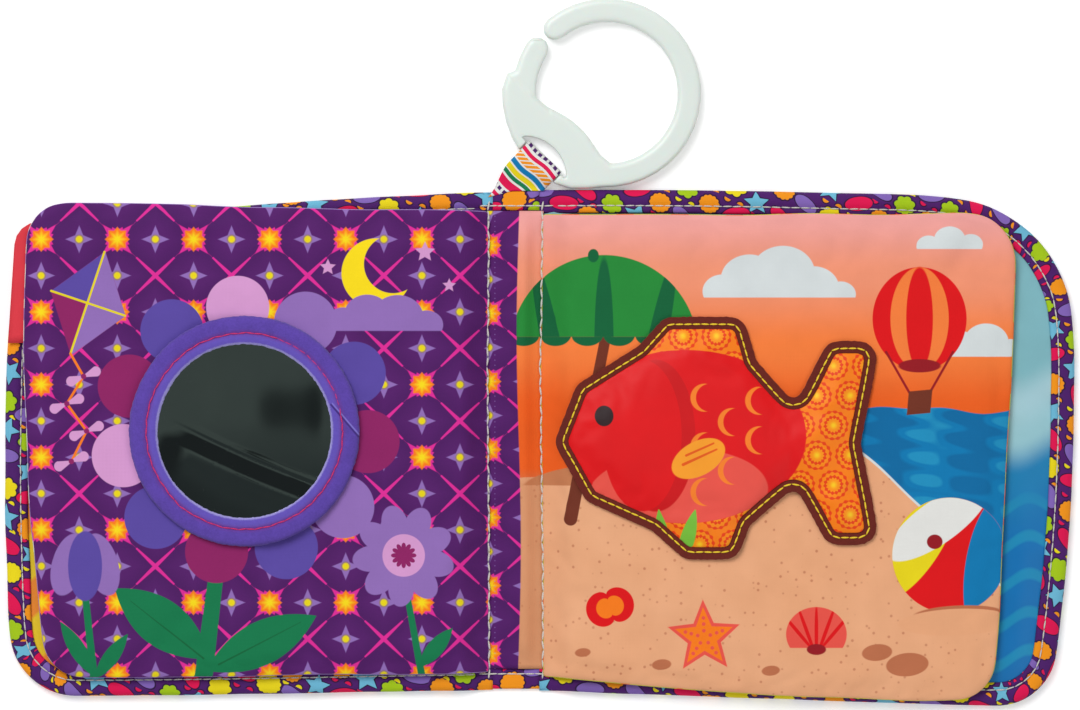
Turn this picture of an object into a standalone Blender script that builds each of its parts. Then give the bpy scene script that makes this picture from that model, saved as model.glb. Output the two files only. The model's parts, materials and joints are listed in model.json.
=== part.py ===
"""Baby soft book, lying open and flat on its back.

Two padded cloth covers and two padded page leaves are sewn to a cloth spine.
The left page carries a soft mirror in a felt ring, the right page a padded
felt patch. A ribbon loop at the head of the spine holds a plastic clip ring.
The origin is the middle of the spine's underside, +Y is the head of the book.
"""
import math

import bmesh
import bpy
from mathutils import Matrix, Vector

BOOK_NAME = "baby_soft_book"

# Clearances
LAYER_GAP = 0.0003
CUT_OVERRUN = 0.002

# Cloth, felt and thread
PAGE_CLOTH = 0.0005
COVER_CLOTH = 0.0007
BORDER_THREAD_RADIUS = 0.00025
SEAM_THREAD_RADIUS = 0.0003
PATCH_THREAD_RADIUS = 0.0003

# Spine
SEAM_X = 0.0089
SEAM_HEIGHT = 0.0009
SPINE_HALF_HEIGHT = 0.0825
SPINE_HEM = 0.0065
SPINE_CLOTH_SETBACK = 0.0012
STRIP_SETBACK = 0.0007
GUTTER_RISE = 0.0025
SPINE_WADDING_SETBACK = 0.0024
SEAM_THREAD_SETBACK = 0.0035

# Covers, measured outwards from the seam line
COVER_SETBACK = 0.0009
COVER_WADDING = 0.0013
COVER_CROWN = 0.0016
COVER_HEM = 0.0080
COVER_CROWN_REACH = 0.0120
BORDER_STITCH_INSET = 0.0060
BORDER_STITCH_START = 0.0050
RIGHT_COVER_WIDTH = 0.1779
RIGHT_COVER_FOOT_WIDTH = 0.1690
RIGHT_COVER_HEAD_DROP = 0.0027
RIGHT_COVER_FOOT_DROP = 0.0061
RIGHT_COVER_HEAD_RADIUS = 0.0450
RIGHT_COVER_FOOT_RADIUS = 0.0200
RIGHT_COVER_SIDE_BOW = 0.0020
RIGHT_COVER_HEAD_BOW = 0.0010
LEFT_COVER_WIDTH = 0.1591
LEFT_COVER_FOOT_WIDTH = 0.1585
LEFT_COVER_HEAD_DROP = 0.0110
LEFT_COVER_FOOT_DROP = 0.0025
LEFT_COVER_HEAD_RADIUS = 0.0380
LEFT_COVER_FOOT_RADIUS = 0.0220
LEFT_COVER_SIDE_BOW = 0.0013
LEFT_COVER_HEAD_BOW = 0.0012

# Page leaves, measured outwards from the seam line
LEAF_SETBACK = 0.00235
LEAF_HINGE_SETBACK = 0.0030
LEAF_WADDING = 0.0003
LEAF_CROWN = 0.0014
LEAF_CROWN_REACH = 0.0140
RIGHT_LEAF_WIDTH = 0.1573
RIGHT_LEAF_FOOT_WIDTH = 0.1494
RIGHT_LEAF_HEAD_DROP = 0.0069
RIGHT_LEAF_FOOT_DROP = 0.0049
RIGHT_LEAF_SEAM_HEAD_SETBACK = 0.0076
RIGHT_LEAF_SEAM_FOOT_SETBACK = 0.0037
RIGHT_LEAF_HEAD_RADIUS = 0.0170
RIGHT_LEAF_FOOT_RADIUS = 0.0140
RIGHT_LEAF_FOOT_BOW = 0.0018
LEFT_LEAF_WIDTH = 0.1540
LEFT_LEAF_FOOT_WIDTH = 0.1470
LEFT_LEAF_HEAD_DROP = 0.0032
LEFT_LEAF_FOOT_RISE = 0.0035
LEFT_LEAF_SEAM_HEAD_SETBACK = 0.0066
LEFT_LEAF_SEAM_FOOT_SETBACK = 0.0050
LEFT_LEAF_CORNER_RADIUS = 0.0140
LEFT_LEAF_SIDE_BOW = 0.0029
LEFT_LEAF_HEAD_DIP = 0.0010

# Slope of every layer down to the seam
SLOPE_START = 0.0010
SLOPE_END = 0.0110
SLOPE_STEPS = 5

# Peek flap behind the left page
FLAP_WIDTH = 0.0427
FLAP_OVERHANG = 0.0003
FLAP_HEAD_DROP = 0.0105
FLAP_HEIGHT = 0.0400
FLAP_CORNER_RADIUS = 0.0080
FLAP_LEAN = 0.0026

# Mirror on the left page
MIRROR_S = 0.0805
MIRROR_Y = 0.0030
MIRROR_RING_RADIUS = 0.0380
MIRROR_RING_WIDTH = 0.0093
MIRROR_FILM_OVERLAP = 0.0043
MIRROR_BACKING = 0.0006
MIRROR_FILM = 0.0003
MIRROR_FELT = 0.0010
MIRROR_THREAD_RADIUS = 0.0003
MIRROR_STITCH_INSET = 0.0057

# Padded felt patch on the right page, a fish
PATCH_S = 0.0036
PATCH_FOOT = 0.0393
PATCH_WIDTH = 0.1075
PATCH_HEIGHT = 0.0799
PATCH_FELT = 0.0010
PATCH_WADDING = 0.0008
PATCH_CORNER_RADIUS = 0.0060
PATCH_NOTCH_RADIUS = 0.0030
PATCH_FELT_BORDER = 0.0040
PATCH_STITCH_INSET = 0.0050
PATCH_CROWN_REACH = 0.0030
PATCH_OUTLINE_SHARES = (
    (0.10, 0.24), (0.30, 0.12), (0.40, 0.00), (0.56, 0.00), (0.60, 0.14), (0.74, 0.30), (0.84, 0.06),
    (1.00, 0.06), (0.94, 0.48), (1.00, 0.90), (0.84, 0.90), (0.74, 0.64), (0.62, 0.82), (0.58, 1.00),
    (0.34, 1.00), (0.26, 0.88), (0.07, 0.72), (0.00, 0.48),
)

# Clip ring
RING_X = 0.0300
RING_CLEAR_OF_COVER = 0.0010
RING_THICKNESS = 0.0052
RING_OUTER_RADIUS = 0.0312
RING_INNER_RADIUS = 0.0234
RING_BODY_RADIUS = 0.0347
RING_SPUR_RADIUS = 0.0336
RING_HUMP = 0.0089
RING_EDGE_ROUNDING = 0.0015
RING_ARM_END_DEG = 129.0
RING_FINGER_END_DEG = 147.7
RING_BODY_START_DEG = 270.0
RING_BODY_FULL_DEG = 240.0
RING_SPUR_DEG = 169.0
RING_NOTCH_DEG = 166.5
RING_HUMP_DEG = 228.0
RING_HUMP_HALF_DEG = 42.0
RING_HUMP_POWER = 2.5
RING_STEP_DEG = 9.0
RING_END_STEPS = 5
BAR_DEG = 226.0
BAR_SLOT_RADIUS = 0.0301
BAR_WIDTH = 0.0030
BAR_THICKNESS = 0.0024
SLOT_HALF_LENGTH = 0.0105
SLOT_DEPTH = 0.0048
SLOT_STEPS = 8

# Ribbon loop
RIBBON_WIDTH = 0.0148
RIBBON_CLOTH = 0.00045
RIBBON_TAIL = 0.0010
RIBBON_TAIL_GAP = 0.0008
RIBBON_HINGE_GAP = 0.0003
RIBBON_HINGE_Z = 0.0022
RIBBON_BAR_PLAY = 0.0002
RIBBON_SIDE_PLAY = 0.0004
RIBBON_ARC_STEPS = 8

# Facets
CORNER_STEPS = 4
PATCH_CORNER_STEPS = 3
BOW_STEPS = 3
DISC_STEPS = 40
THREAD_SIDES_SETTING = 1
ARCH_STEPS = 12

# Heads and feet of the covers and leaves, up and down from the middle of the spine
RIGHT_COVER_HEAD = SPINE_HALF_HEIGHT - RIGHT_COVER_HEAD_DROP
RIGHT_COVER_FOOT = SPINE_HALF_HEIGHT + RIGHT_COVER_FOOT_DROP
LEFT_COVER_HEAD = SPINE_HALF_HEIGHT - LEFT_COVER_HEAD_DROP
LEFT_COVER_FOOT = SPINE_HALF_HEIGHT + LEFT_COVER_FOOT_DROP
RIGHT_LEAF_HEAD = SPINE_HALF_HEIGHT - RIGHT_LEAF_HEAD_DROP
RIGHT_LEAF_FOOT = SPINE_HALF_HEIGHT + RIGHT_LEAF_FOOT_DROP
RIGHT_LEAF_SEAM_HEAD = SPINE_HALF_HEIGHT - RIGHT_LEAF_SEAM_HEAD_SETBACK
RIGHT_LEAF_SEAM_FOOT = SPINE_HALF_HEIGHT - RIGHT_LEAF_SEAM_FOOT_SETBACK
LEFT_LEAF_HEAD = SPINE_HALF_HEIGHT - LEFT_LEAF_HEAD_DROP
LEFT_LEAF_FOOT = SPINE_HALF_HEIGHT - LEFT_LEAF_FOOT_RISE
LEFT_LEAF_SEAM_HEAD = SPINE_HALF_HEIGHT - LEFT_LEAF_SEAM_HEAD_SETBACK
LEFT_LEAF_SEAM_FOOT = SPINE_HALF_HEIGHT - LEFT_LEAF_SEAM_FOOT_SETBACK
FLAP_HEAD = SPINE_HALF_HEIGHT - FLAP_HEAD_DROP
FLAP_FOOT = FLAP_HEAD - FLAP_HEIGHT

# Mirror window and the film behind it
MIRROR_WINDOW_RADIUS = MIRROR_RING_RADIUS - MIRROR_RING_WIDTH
MIRROR_FILM_RADIUS = MIRROR_WINDOW_RADIUS + MIRROR_FILM_OVERLAP

# Heights of the layers, from the resting surface up
SHEET_TOP = COVER_CLOTH
COVER_WADDING_LOW = SHEET_TOP + LAYER_GAP
LINING_LOW = COVER_WADDING_LOW + COVER_WADDING + LAYER_GAP
HEM_LOW = LINING_LOW + PAGE_CLOTH + LAYER_GAP
HEM_TOP = HEM_LOW + COVER_CLOTH
BORDER_STITCH_Z = HEM_TOP + LAYER_GAP + BORDER_THREAD_RADIUS
BORDER_STITCH_TOP = BORDER_STITCH_Z + BORDER_THREAD_RADIUS
LINING_CROWN_TOP = LINING_LOW + PAGE_CLOTH + COVER_CROWN
FLAP_LOW = max(BORDER_STITCH_TOP, LINING_CROWN_TOP) + LAYER_GAP
FLAP_TOP = FLAP_LOW + PAGE_CLOTH
LEAF_LOW = FLAP_TOP + LAYER_GAP
LEAF_WADDING_LOW = LEAF_LOW + PAGE_CLOTH + LAYER_GAP
LEAF_RIM_LOW = LEAF_WADDING_LOW
LEAF_CROWN_TOP = LEAF_RIM_LOW + PAGE_CLOTH + LEAF_CROWN
ON_LEAF = LEAF_CROWN_TOP + LAYER_GAP
SPINE_HEM_LOW = SHEET_TOP + LAYER_GAP
SPINE_HEM_TOP = SPINE_HEM_LOW + COVER_CLOTH

# How far each layer drops at the seam
COVER_DROP = HEM_LOW - SPINE_HEM_LOW
LINING_DROP = LINING_LOW - SPINE_HEM_LOW
LEAF_DROP = COVER_DROP + LEAF_LOW - BORDER_STITCH_TOP - LAYER_GAP

RIGHT = 1
LEFT = -1


class Outline:
    """A rounded polygon, anticlockwise, each side bowing outwards by its own amount."""

    def __init__(self, corners, radii, bows, steps=CORNER_STEPS):
        self.corners = [Vector(corner) for corner in corners]
        self.radii = radii
        self.bows = bows
        self.steps = steps

    def inset(self, amounts):
        """The same outline drawn in, by one amount or by one for each side."""
        count = len(self.corners)
        if not isinstance(amounts, (list, tuple)):
            amounts = [amounts] * count
        corners = []
        radii = []
        for index, corner in enumerate(self.corners):
            before = (corner - self.corners[index - 1]).normalized()
            after = (self.corners[(index + 1) % count] - corner).normalized()
            normal_before = Vector((-before.y, before.x))
            normal_after = Vector((-after.y, after.x))
            span = normal_before.x * normal_after.y - normal_before.y * normal_after.x
            first = amounts[index - 1]
            second = amounts[index]
            shift = Vector((first * normal_after.y - second * normal_before.y,
                            second * normal_before.x - first * normal_after.x)) / span
            corners.append(corner + shift)
            mean = (first + second) / 2
            turned = self.radii[index] - mean if span > 0 else self.radii[index] + mean
            radii.append(max(turned, LAYER_GAP) if self.radii[index] > 0 else 0)
        return Outline(corners, radii, self.bows, self.steps)

    def arc(self, index):
        """Points that round one corner."""
        corner = self.corners[index]
        radius = self.radii[index]
        if radius == 0:
            return [corner]
        back = (self.corners[index - 1] - corner).normalized()
        ahead = (self.corners[(index + 1) % len(self.corners)] - corner).normalized()
        half = back.angle(ahead) / 2
        centre = corner + (back + ahead).normalized() * (radius / math.sin(half))
        start = corner + back * (radius / math.tan(half)) - centre
        end = corner + ahead * (radius / math.tan(half)) - centre
        turn = math.atan2(start.x * end.y - start.y * end.x, start.dot(end))
        return [centre + start @ Matrix.Rotation(-turn * step / self.steps, 2)
                for step in range(self.steps + 1)]

    def points(self):
        """Every point of the outline, starting at its first corner."""
        arcs = [self.arc(index) for index in range(len(self.corners))]
        points = []
        for index, arc in enumerate(arcs):
            points.extend(arc)
            bow = self.bows[index]
            if bow == 0:
                continue
            start = arc[-1]
            end = arcs[(index + 1) % len(arcs)][0]
            along = end - start
            outwards = Vector((along.y, -along.x)).normalized()
            for step in range(1, BOW_STEPS + 1):
                share = step / (BOW_STEPS + 1)
                points.append(start + along * share + outwards * bow * 4 * share * (1 - share))
        return points


class Disc:
    """A circle with the same calls as an outline."""

    def __init__(self, centre, radius):
        self.centre = Vector(centre)
        self.radius = radius

    def inset(self, amount):
        return Disc(self.centre, self.radius - amount)

    def points(self):
        turns = [math.tau * step / DISC_STEPS for step in range(DISC_STEPS)]
        return [self.centre + self.radius * Vector((math.cos(turn), math.sin(turn))) for turn in turns]


def slope_stations():
    """Distances from the seam at which a layer's slope changes."""
    return [SLOPE_START + (SLOPE_END - SLOPE_START) * step / SLOPE_STEPS
            for step in range(SLOPE_STEPS + 1)]


def flatness(distance):
    """0 at the seam, where layers are pressed together, to 1 where they lie at full height."""
    steps = (distance - SLOPE_START) / (SLOPE_END - SLOPE_START) * SLOPE_STEPS
    steps = min(max(steps, 0), SLOPE_STEPS)
    below = min(math.floor(steps), SLOPE_STEPS - 1)
    eased = [share * share * (3 - 2 * share)
             for share in (below / SLOPE_STEPS, (below + 1) / SLOPE_STEPS)]
    return eased[0] + (eased[1] - eased[0]) * (steps - below)


def hem_weight(height):
    """How much of the slope reaches a height: none on the bottom sheet, all of it at the hem."""
    return min(max((height - SHEET_TOP) / (HEM_LOW - SHEET_TOP), 0), 1)


def crown(reach, rise, steps=((0.1, 0.36), (0.3, 0.64), (0.6, 0.86), (1.0, 1.0))):
    """Insets and rises of a crowned face, in shares of its reach and height."""
    return [(inset_share * reach, rise_share * rise) for inset_share, rise_share in steps]


def face_out(mesh):
    """Turn every face of a closed mesh outwards."""
    mesh.normal_update()
    bmesh.ops.recalc_face_normals(mesh, faces=mesh.faces)
    return mesh


def loft(outline, profile):
    """A solid whose sections are the outline, drawn in by each inset at each height."""
    mesh = bmesh.new()
    inset, height = profile[0]
    face = mesh.faces.new([mesh.verts.new((x, y, height)) for x, y in outline.inset(inset).points()])
    base = face
    for inset, height in profile[1:]:
        grown = bmesh.ops.extrude_face_region(mesh, geom=[face])["geom"]
        if face is not base:
            bmesh.ops.delete(mesh, geom=[face], context="FACES_ONLY")
        face = next(item for item in grown if isinstance(item, bmesh.types.BMFace))
        for vertex, (x, y) in zip(face.verts, outline.inset(inset).points()):
            vertex.co = (x, y, height)
    return face_out(mesh)


def slope_to_seam(mesh, drop, weight=lambda height: 1):
    """Lower a layer towards the seam, cutting it first where the slope changes."""
    for station in slope_stations():
        geometry = mesh.verts[:] + mesh.edges[:] + mesh.faces[:]
        bmesh.ops.bisect_plane(mesh, geom=geometry, plane_co=(station, 0, 0), plane_no=(1, 0, 0))
    for vertex in mesh.verts:
        vertex.co.z -= drop * weight(vertex.co.z) * (1 - flatness(vertex.co.x))
    return mesh


def sloped_path(points, height, drop, closed=False):
    """A path along a sloped layer, with a point wherever the slope changes."""
    path = []
    ends = points[1:] + points[:1] if closed else points[1:]
    for start, end in zip(points, ends):
        path.append(start)
        crossings = [(station - start.x) / (end.x - start.x) for station in slope_stations()
                     if min(start.x, end.x) < station < max(start.x, end.x)]
        path.extend(start.lerp(end, share) for share in sorted(crossings))
    if not closed:
        path.append(points[-1])
    return [(point.x, point.y, height - drop * (1 - flatness(point.x))) for point in path]


def turned(section, centre):
    """A ring turned from its closed section, drawn as distances and heights."""
    mesh = bmesh.new()
    verts = [mesh.verts.new((centre[0] + radius, centre[1], height)) for radius, height in section]
    edges = [mesh.edges.new((verts[index - 1], verts[index])) for index in range(len(verts))]
    bmesh.ops.spin(mesh, geom=verts + edges, cent=(centre[0], centre[1], 0), axis=(0, 0, 1),
                   angle=math.tau, steps=DISC_STEPS, use_merge=True)
    bmesh.ops.remove_doubles(mesh, verts=mesh.verts, dist=LAYER_GAP / 10)
    return face_out(mesh)


def prism(points, depth):
    """A flat face through the points, extruded by a depth vector."""
    mesh = bmesh.new()
    face = mesh.faces.new([mesh.verts.new(point) for point in points])
    grown = bmesh.ops.extrude_face_region(mesh, geom=[face])["geom"]
    bmesh.ops.translate(mesh, vec=depth, verts=[item for item in grown if isinstance(item, bmesh.types.BMVert)])
    return face_out(mesh)


def box(low, high):
    """A box between two corners."""
    mesh = bmesh.new()
    bmesh.ops.create_cube(mesh, size=1)
    size = Vector(high) - Vector(low)
    bmesh.ops.scale(mesh, vec=size, verts=mesh.verts)
    bmesh.ops.translate(mesh, vec=Vector(low) + size / 2, verts=mesh.verts)
    return mesh


def to_side(mesh, side):
    """Carry a mesh from distances off the seam to its own side of the book."""
    for vertex in mesh.verts:
        vertex.co.x = side * (SEAM_X + vertex.co.x)
    return face_out(mesh)


def finish(name, colour, roughness, metallic=0.0):
    """A plain material for one sub-part."""
    material = bpy.data.materials.new(name)
    material.use_nodes = True
    shader = material.node_tree.nodes["Principled BSDF"]
    shader.inputs["Base Color"].default_value = (*colour, 1)
    shader.inputs["Roughness"].default_value = roughness
    shader.inputs["Metallic"].default_value = metallic
    material.diffuse_color = (*colour, 1)
    return material


def add_object(name, data, pivot, look):
    """Put a sub-part in the book's collection, carried by its pivot."""
    item = bpy.data.objects.new(name, data)
    bpy.data.collections[BOOK_NAME].objects.link(item)
    item.parent = pivot
    item.matrix_parent_inverse = pivot.matrix_world.inverted()
    data.materials.append(finish(name, *look))
    return item


def add_mesh(name, mesh, pivot, look, smooth_deg=40):
    """Turn a finished bmesh into a sub-part."""
    data = bpy.data.meshes.new(name)
    mesh.to_mesh(data)
    mesh.free()
    data.shade_smooth()
    data.set_sharp_from_angle(angle=math.radians(smooth_deg))
    return add_object(name, data, pivot, look)


def add_tube(name, path, radius, pivot, look, closed=False):
    """A thread: a round tube along a path."""
    curve = bpy.data.curves.new(name, "CURVE")
    curve.dimensions = "3D"
    curve.bevel_depth = radius
    curve.bevel_resolution = THREAD_SIDES_SETTING
    curve.use_fill_caps = True
    spline = curve.splines.new("POLY")
    spline.points.add(len(path) - 1)
    for point, place in zip(spline.points, path):
        point.co = (*place, 1)
    spline.use_cyclic_u = closed
    return add_object(name, curve, pivot, look)


def add_pivot(name, place, parent=None):
    """An empty on a hinge line."""
    pivot = bpy.data.objects.new(name, None)
    bpy.data.collections[BOOK_NAME].objects.link(pivot)
    pivot.location = place
    if parent:
        pivot.parent = parent
        pivot.matrix_parent_inverse = parent.matrix_world.inverted()
    bpy.context.view_layer.update()
    return pivot


def cut(item, name, mesh):
    """Cut a sub-part with a hidden cutter."""
    data = bpy.data.meshes.new(name)
    mesh.to_mesh(data)
    mesh.free()
    cutter = bpy.data.objects.new(name, data)
    bpy.data.collections[BOOK_NAME + "_cutters"].objects.link(cutter)
    cutter.hide_render = True
    cutter.display_type = "WIRE"
    modifier = item.modifiers.new(name, "BOOLEAN")
    modifier.operation = "DIFFERENCE"
    modifier.solver = "EXACT"
    modifier.object = cutter


def cover_outline(side):
    """A cover's outer edge, run past the seam, where it is cut off later."""
    past = -2 * COVER_HEM
    if side == RIGHT:
        corners = ((past, -SPINE_HALF_HEIGHT), (RIGHT_COVER_FOOT_WIDTH, -RIGHT_COVER_FOOT),
                   (RIGHT_COVER_WIDTH, RIGHT_COVER_HEAD), (past, SPINE_HALF_HEIGHT))
        radii = (0, RIGHT_COVER_FOOT_RADIUS, RIGHT_COVER_HEAD_RADIUS, 0)
        return Outline(corners, radii, (0, RIGHT_COVER_SIDE_BOW, RIGHT_COVER_HEAD_BOW, 0))
    corners = ((past, -SPINE_HALF_HEIGHT), (LEFT_COVER_FOOT_WIDTH, -LEFT_COVER_FOOT),
               (LEFT_COVER_WIDTH, LEFT_COVER_HEAD), (past, SPINE_HALF_HEIGHT))
    radii = (0, LEFT_COVER_FOOT_RADIUS, LEFT_COVER_HEAD_RADIUS, 0)
    return Outline(corners, radii, (0, LEFT_COVER_SIDE_BOW, LEFT_COVER_HEAD_BOW, 0))


def leaf_outline(side):
    """A page leaf's edge, from its root beside the seam."""
    if side == RIGHT:
        corners = ((LEAF_SETBACK, -RIGHT_LEAF_SEAM_FOOT), (RIGHT_LEAF_FOOT_WIDTH, -RIGHT_LEAF_FOOT),
                   (RIGHT_LEAF_WIDTH, RIGHT_LEAF_HEAD), (LEAF_SETBACK, RIGHT_LEAF_SEAM_HEAD))
        radii = (0, RIGHT_LEAF_FOOT_RADIUS, RIGHT_LEAF_HEAD_RADIUS, 0)
        return Outline(corners, radii, (RIGHT_LEAF_FOOT_BOW, 0, 0, 0))
    corners = ((LEAF_SETBACK, -LEFT_LEAF_SEAM_FOOT), (LEFT_LEAF_FOOT_WIDTH, -LEFT_LEAF_FOOT),
               (LEFT_LEAF_WIDTH, LEFT_LEAF_HEAD), (LEAF_SETBACK, LEFT_LEAF_SEAM_HEAD))
    radii = (0, LEFT_LEAF_CORNER_RADIUS, LEFT_LEAF_CORNER_RADIUS, 0)
    return Outline(corners, radii, (0, LEFT_LEAF_SIDE_BOW, -LEFT_LEAF_HEAD_DIP, 0))


def spine_section_arc(radius, start_deg, end_deg, side, steps=3):
    """The rounded fold at the head or foot of the spine cloth."""
    middle = SPINE_HEM_TOP / 2
    points = []
    for step in range(steps + 1):
        turn = math.radians(start_deg + (end_deg - start_deg) * step / steps)
        points.append((side * (SPINE_HALF_HEIGHT - middle + radius * math.cos(turn)),
                       middle + radius * math.sin(turn)))
    return points


def make_spine(root):
    """Spine cloth folded over at head and foot, its wadding, the gutter strip and two seams."""
    half = SEAM_X - SPINE_CLOTH_SETBACK
    outer = SPINE_HEM_TOP / 2
    inner = outer - COVER_CLOTH
    hem_edge = SPINE_HALF_HEIGHT - SPINE_HEM
    section = spine_section_arc(outer, -90, 90, 1)
    section += [(hem_edge, SPINE_HEM_TOP), (hem_edge, SPINE_HEM_LOW)]
    section += spine_section_arc(inner, 90, -90, 1)
    section += spine_section_arc(inner, -90, 90, -1)
    section += [(-hem_edge, SPINE_HEM_LOW), (-hem_edge, SPINE_HEM_TOP)]
    section += spine_section_arc(outer, 90, -90, -1)
    cloth = prism([(-half, y, z) for y, z in section], (2 * half, 0, 0))
    add_mesh("spine_cloth", cloth, root, ((0.13, 0.03, 0.20), 0.8))

    strip_half = SEAM_X - STRIP_SETBACK
    strip_end = hem_edge - LAYER_GAP
    rise = [(x_share * strip_half, SPINE_HEM_LOW + GUTTER_RISE * (1 - x_share ** 2))
            for x_share in (2 * step / ARCH_STEPS - 1 for step in range(ARCH_STEPS + 1))]
    section = [(x, z + PAGE_CLOTH) for x, z in rise] + rise[::-1]
    strip = prism([(x, -strip_end, z) for x, z in section], (0, 2 * strip_end, 0))
    add_mesh("gutter_strip", strip, root, ((0.55, 0.22, 0.20), 0.8))

    wadding_half = SEAM_X - SPINE_WADDING_SETBACK
    section = [(x, z - LAYER_GAP) for x, z in rise if abs(x) < wadding_half]
    section += [(wadding_half, SPINE_HEM_LOW), (-wadding_half, SPINE_HEM_LOW)]
    wadding_end = strip_end - LAYER_GAP
    wadding = prism([(x, -wadding_end, z) for x, z in section], (0, 2 * wadding_end, 0))
    add_mesh("spine_wadding", wadding, root, ((0.85, 0.85, 0.85), 0.9))

    reach = SPINE_HALF_HEIGHT - SEAM_THREAD_SETBACK
    for side, name in ((LEFT, "left_seam_thread"), (RIGHT, "right_seam_thread")):
        path = [(side * SEAM_X, y, SEAM_HEIGHT) for y in (-reach, reach)]
        add_tube(name, path, SEAM_THREAD_RADIUS, root, ((0.85, 0.85, 0.80), 0.7))


def fold_arc(middle, radius, start_deg, end_deg, steps=4):
    """Insets and heights round a folded edge."""
    turns = [math.radians(start_deg + (end_deg - start_deg) * step / steps) for step in range(steps + 1)]
    return [(middle - radius * math.cos(turn), middle + radius * math.sin(turn)) for turn in turns]


def make_cover(side, name, pivot):
    """One cover: outer cloth folded over into a hem, wadding, lining and border stitch."""
    outline = cover_outline(side)
    middle = HEM_TOP / 2
    profile = fold_arc(middle, middle, -90, 90)
    profile += [(COVER_HEM, HEM_TOP), (COVER_HEM, HEM_LOW)]
    profile += fold_arc(middle, middle - COVER_CLOTH, 90, -90)
    tray = slope_to_seam(loft(outline, profile), COVER_DROP, hem_weight)
    cloth = add_mesh(name + "_cloth", to_side(tray, side), pivot, ((0.10, 0.02, 0.16), 0.8))
    reach = 2 * (COVER_HEM + SPINE_HALF_HEIGHT)
    low = (-reach, -reach, -CUT_OVERRUN)
    high = (COVER_SETBACK, reach, HEM_TOP + CUT_OVERRUN)
    cut(cloth, name + "_seam_cutter", to_side(box(low, high), side))

    root = SLOPE_END - outline.corners[0].x
    rim = outline.inset([middle + LAYER_GAP] * 3 + [root])
    ease = COVER_WADDING / 2
    inner = COVER_HEM - middle
    profile = [(0, COVER_WADDING_LOW), (0, COVER_WADDING_LOW + ease),
               (ease, COVER_WADDING_LOW + COVER_WADDING), (inner, COVER_WADDING_LOW + COVER_WADDING)]
    profile += [(inner + inset, COVER_WADDING_LOW + COVER_WADDING + rise)
                for inset, rise in crown(COVER_CROWN_REACH, COVER_CROWN)]
    wadding = loft(rim, profile)
    add_mesh(name + "_wadding", to_side(wadding, side), pivot, ((0.85, 0.85, 0.85), 0.9))

    root = COVER_SETBACK - outline.corners[0].x
    window = outline.inset([COVER_HEM + LAYER_GAP] * 3 + [root])
    rises = [(0, 0)] + crown(COVER_CROWN_REACH, COVER_CROWN)
    profile = [(inset, LINING_LOW + rise) for inset, rise in rises[::-1]]
    profile += [(inset, LINING_LOW + PAGE_CLOTH + rise) for inset, rise in rises]
    lining = slope_to_seam(loft(window, profile), LINING_DROP)
    colour = (0.20, 0.45, 0.60) if side == RIGHT else (0.80, 0.55, 0.05)
    add_mesh(name + "_lining", to_side(lining, side), pivot, (colour, 0.5))

    start = BORDER_STITCH_START - outline.corners[0].x
    line = outline.inset([BORDER_STITCH_INSET] * 3 + [start]).points()
    path = sloped_path(line, BORDER_STITCH_Z, COVER_DROP)
    path = [(side * (SEAM_X + x), y, z) for x, y, z in path]
    add_tube(name + "_border_stitch", path, BORDER_THREAD_RADIUS, pivot, ((0.85, 0.85, 0.80), 0.7))


def make_leaf(side, name, pivot, colour):
    """One page leaf: back cloth, wadding and crowned front cloth."""
    outline = leaf_outline(side)
    back = slope_to_seam(loft(outline, [(0, LEAF_LOW), (0, LEAF_LOW + PAGE_CLOTH)]), LEAF_DROP)
    add_mesh(name + "_back", to_side(back, side), pivot, ((0.60, 0.30, 0.35), 0.7))

    rises = [(0, 0)] + crown(LEAF_CROWN_REACH, LEAF_CROWN)
    profile = [(inset, LEAF_RIM_LOW + rise) for inset, rise in rises[::-1]]
    profile += [(inset, LEAF_RIM_LOW + PAGE_CLOTH + rise) for inset, rise in rises]
    front = slope_to_seam(loft(outline, profile), LEAF_DROP)
    add_mesh(name + "_front", to_side(front, side), pivot, (colour, 0.7))

    inner = rises[2][0]
    root = SLOPE_END - outline.corners[0].x
    rim = outline.inset([inner] * 3 + [root])
    profile = [(0, LEAF_WADDING_LOW), (0, LEAF_WADDING_LOW + LEAF_WADDING)]
    profile += [(inset - inner, LEAF_RIM_LOW - LAYER_GAP + rise) for inset, rise in rises[3:]]
    add_mesh(name + "_wadding", to_side(loft(rim, profile), side), pivot, ((0.85, 0.85, 0.85), 0.9))


def make_flap(pivot):
    """The coral flap that peeks out from behind the left page."""
    outer = LEFT_COVER_WIDTH - FLAP_OVERHANG
    inner = outer - FLAP_WIDTH
    corners = ((inner, FLAP_FOOT), (outer, FLAP_FOOT), (outer - FLAP_LEAN, FLAP_HEAD), (inner, FLAP_HEAD))
    outline = Outline(corners, (0, 0, FLAP_CORNER_RADIUS, 0), (0, 0, 0, 0))
    flap = loft(outline, [(0, FLAP_LOW), (0, FLAP_TOP)])
    add_mesh("peek_flap", to_side(flap, LEFT), pivot, ((0.80, 0.08, 0.08), 0.6))


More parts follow.
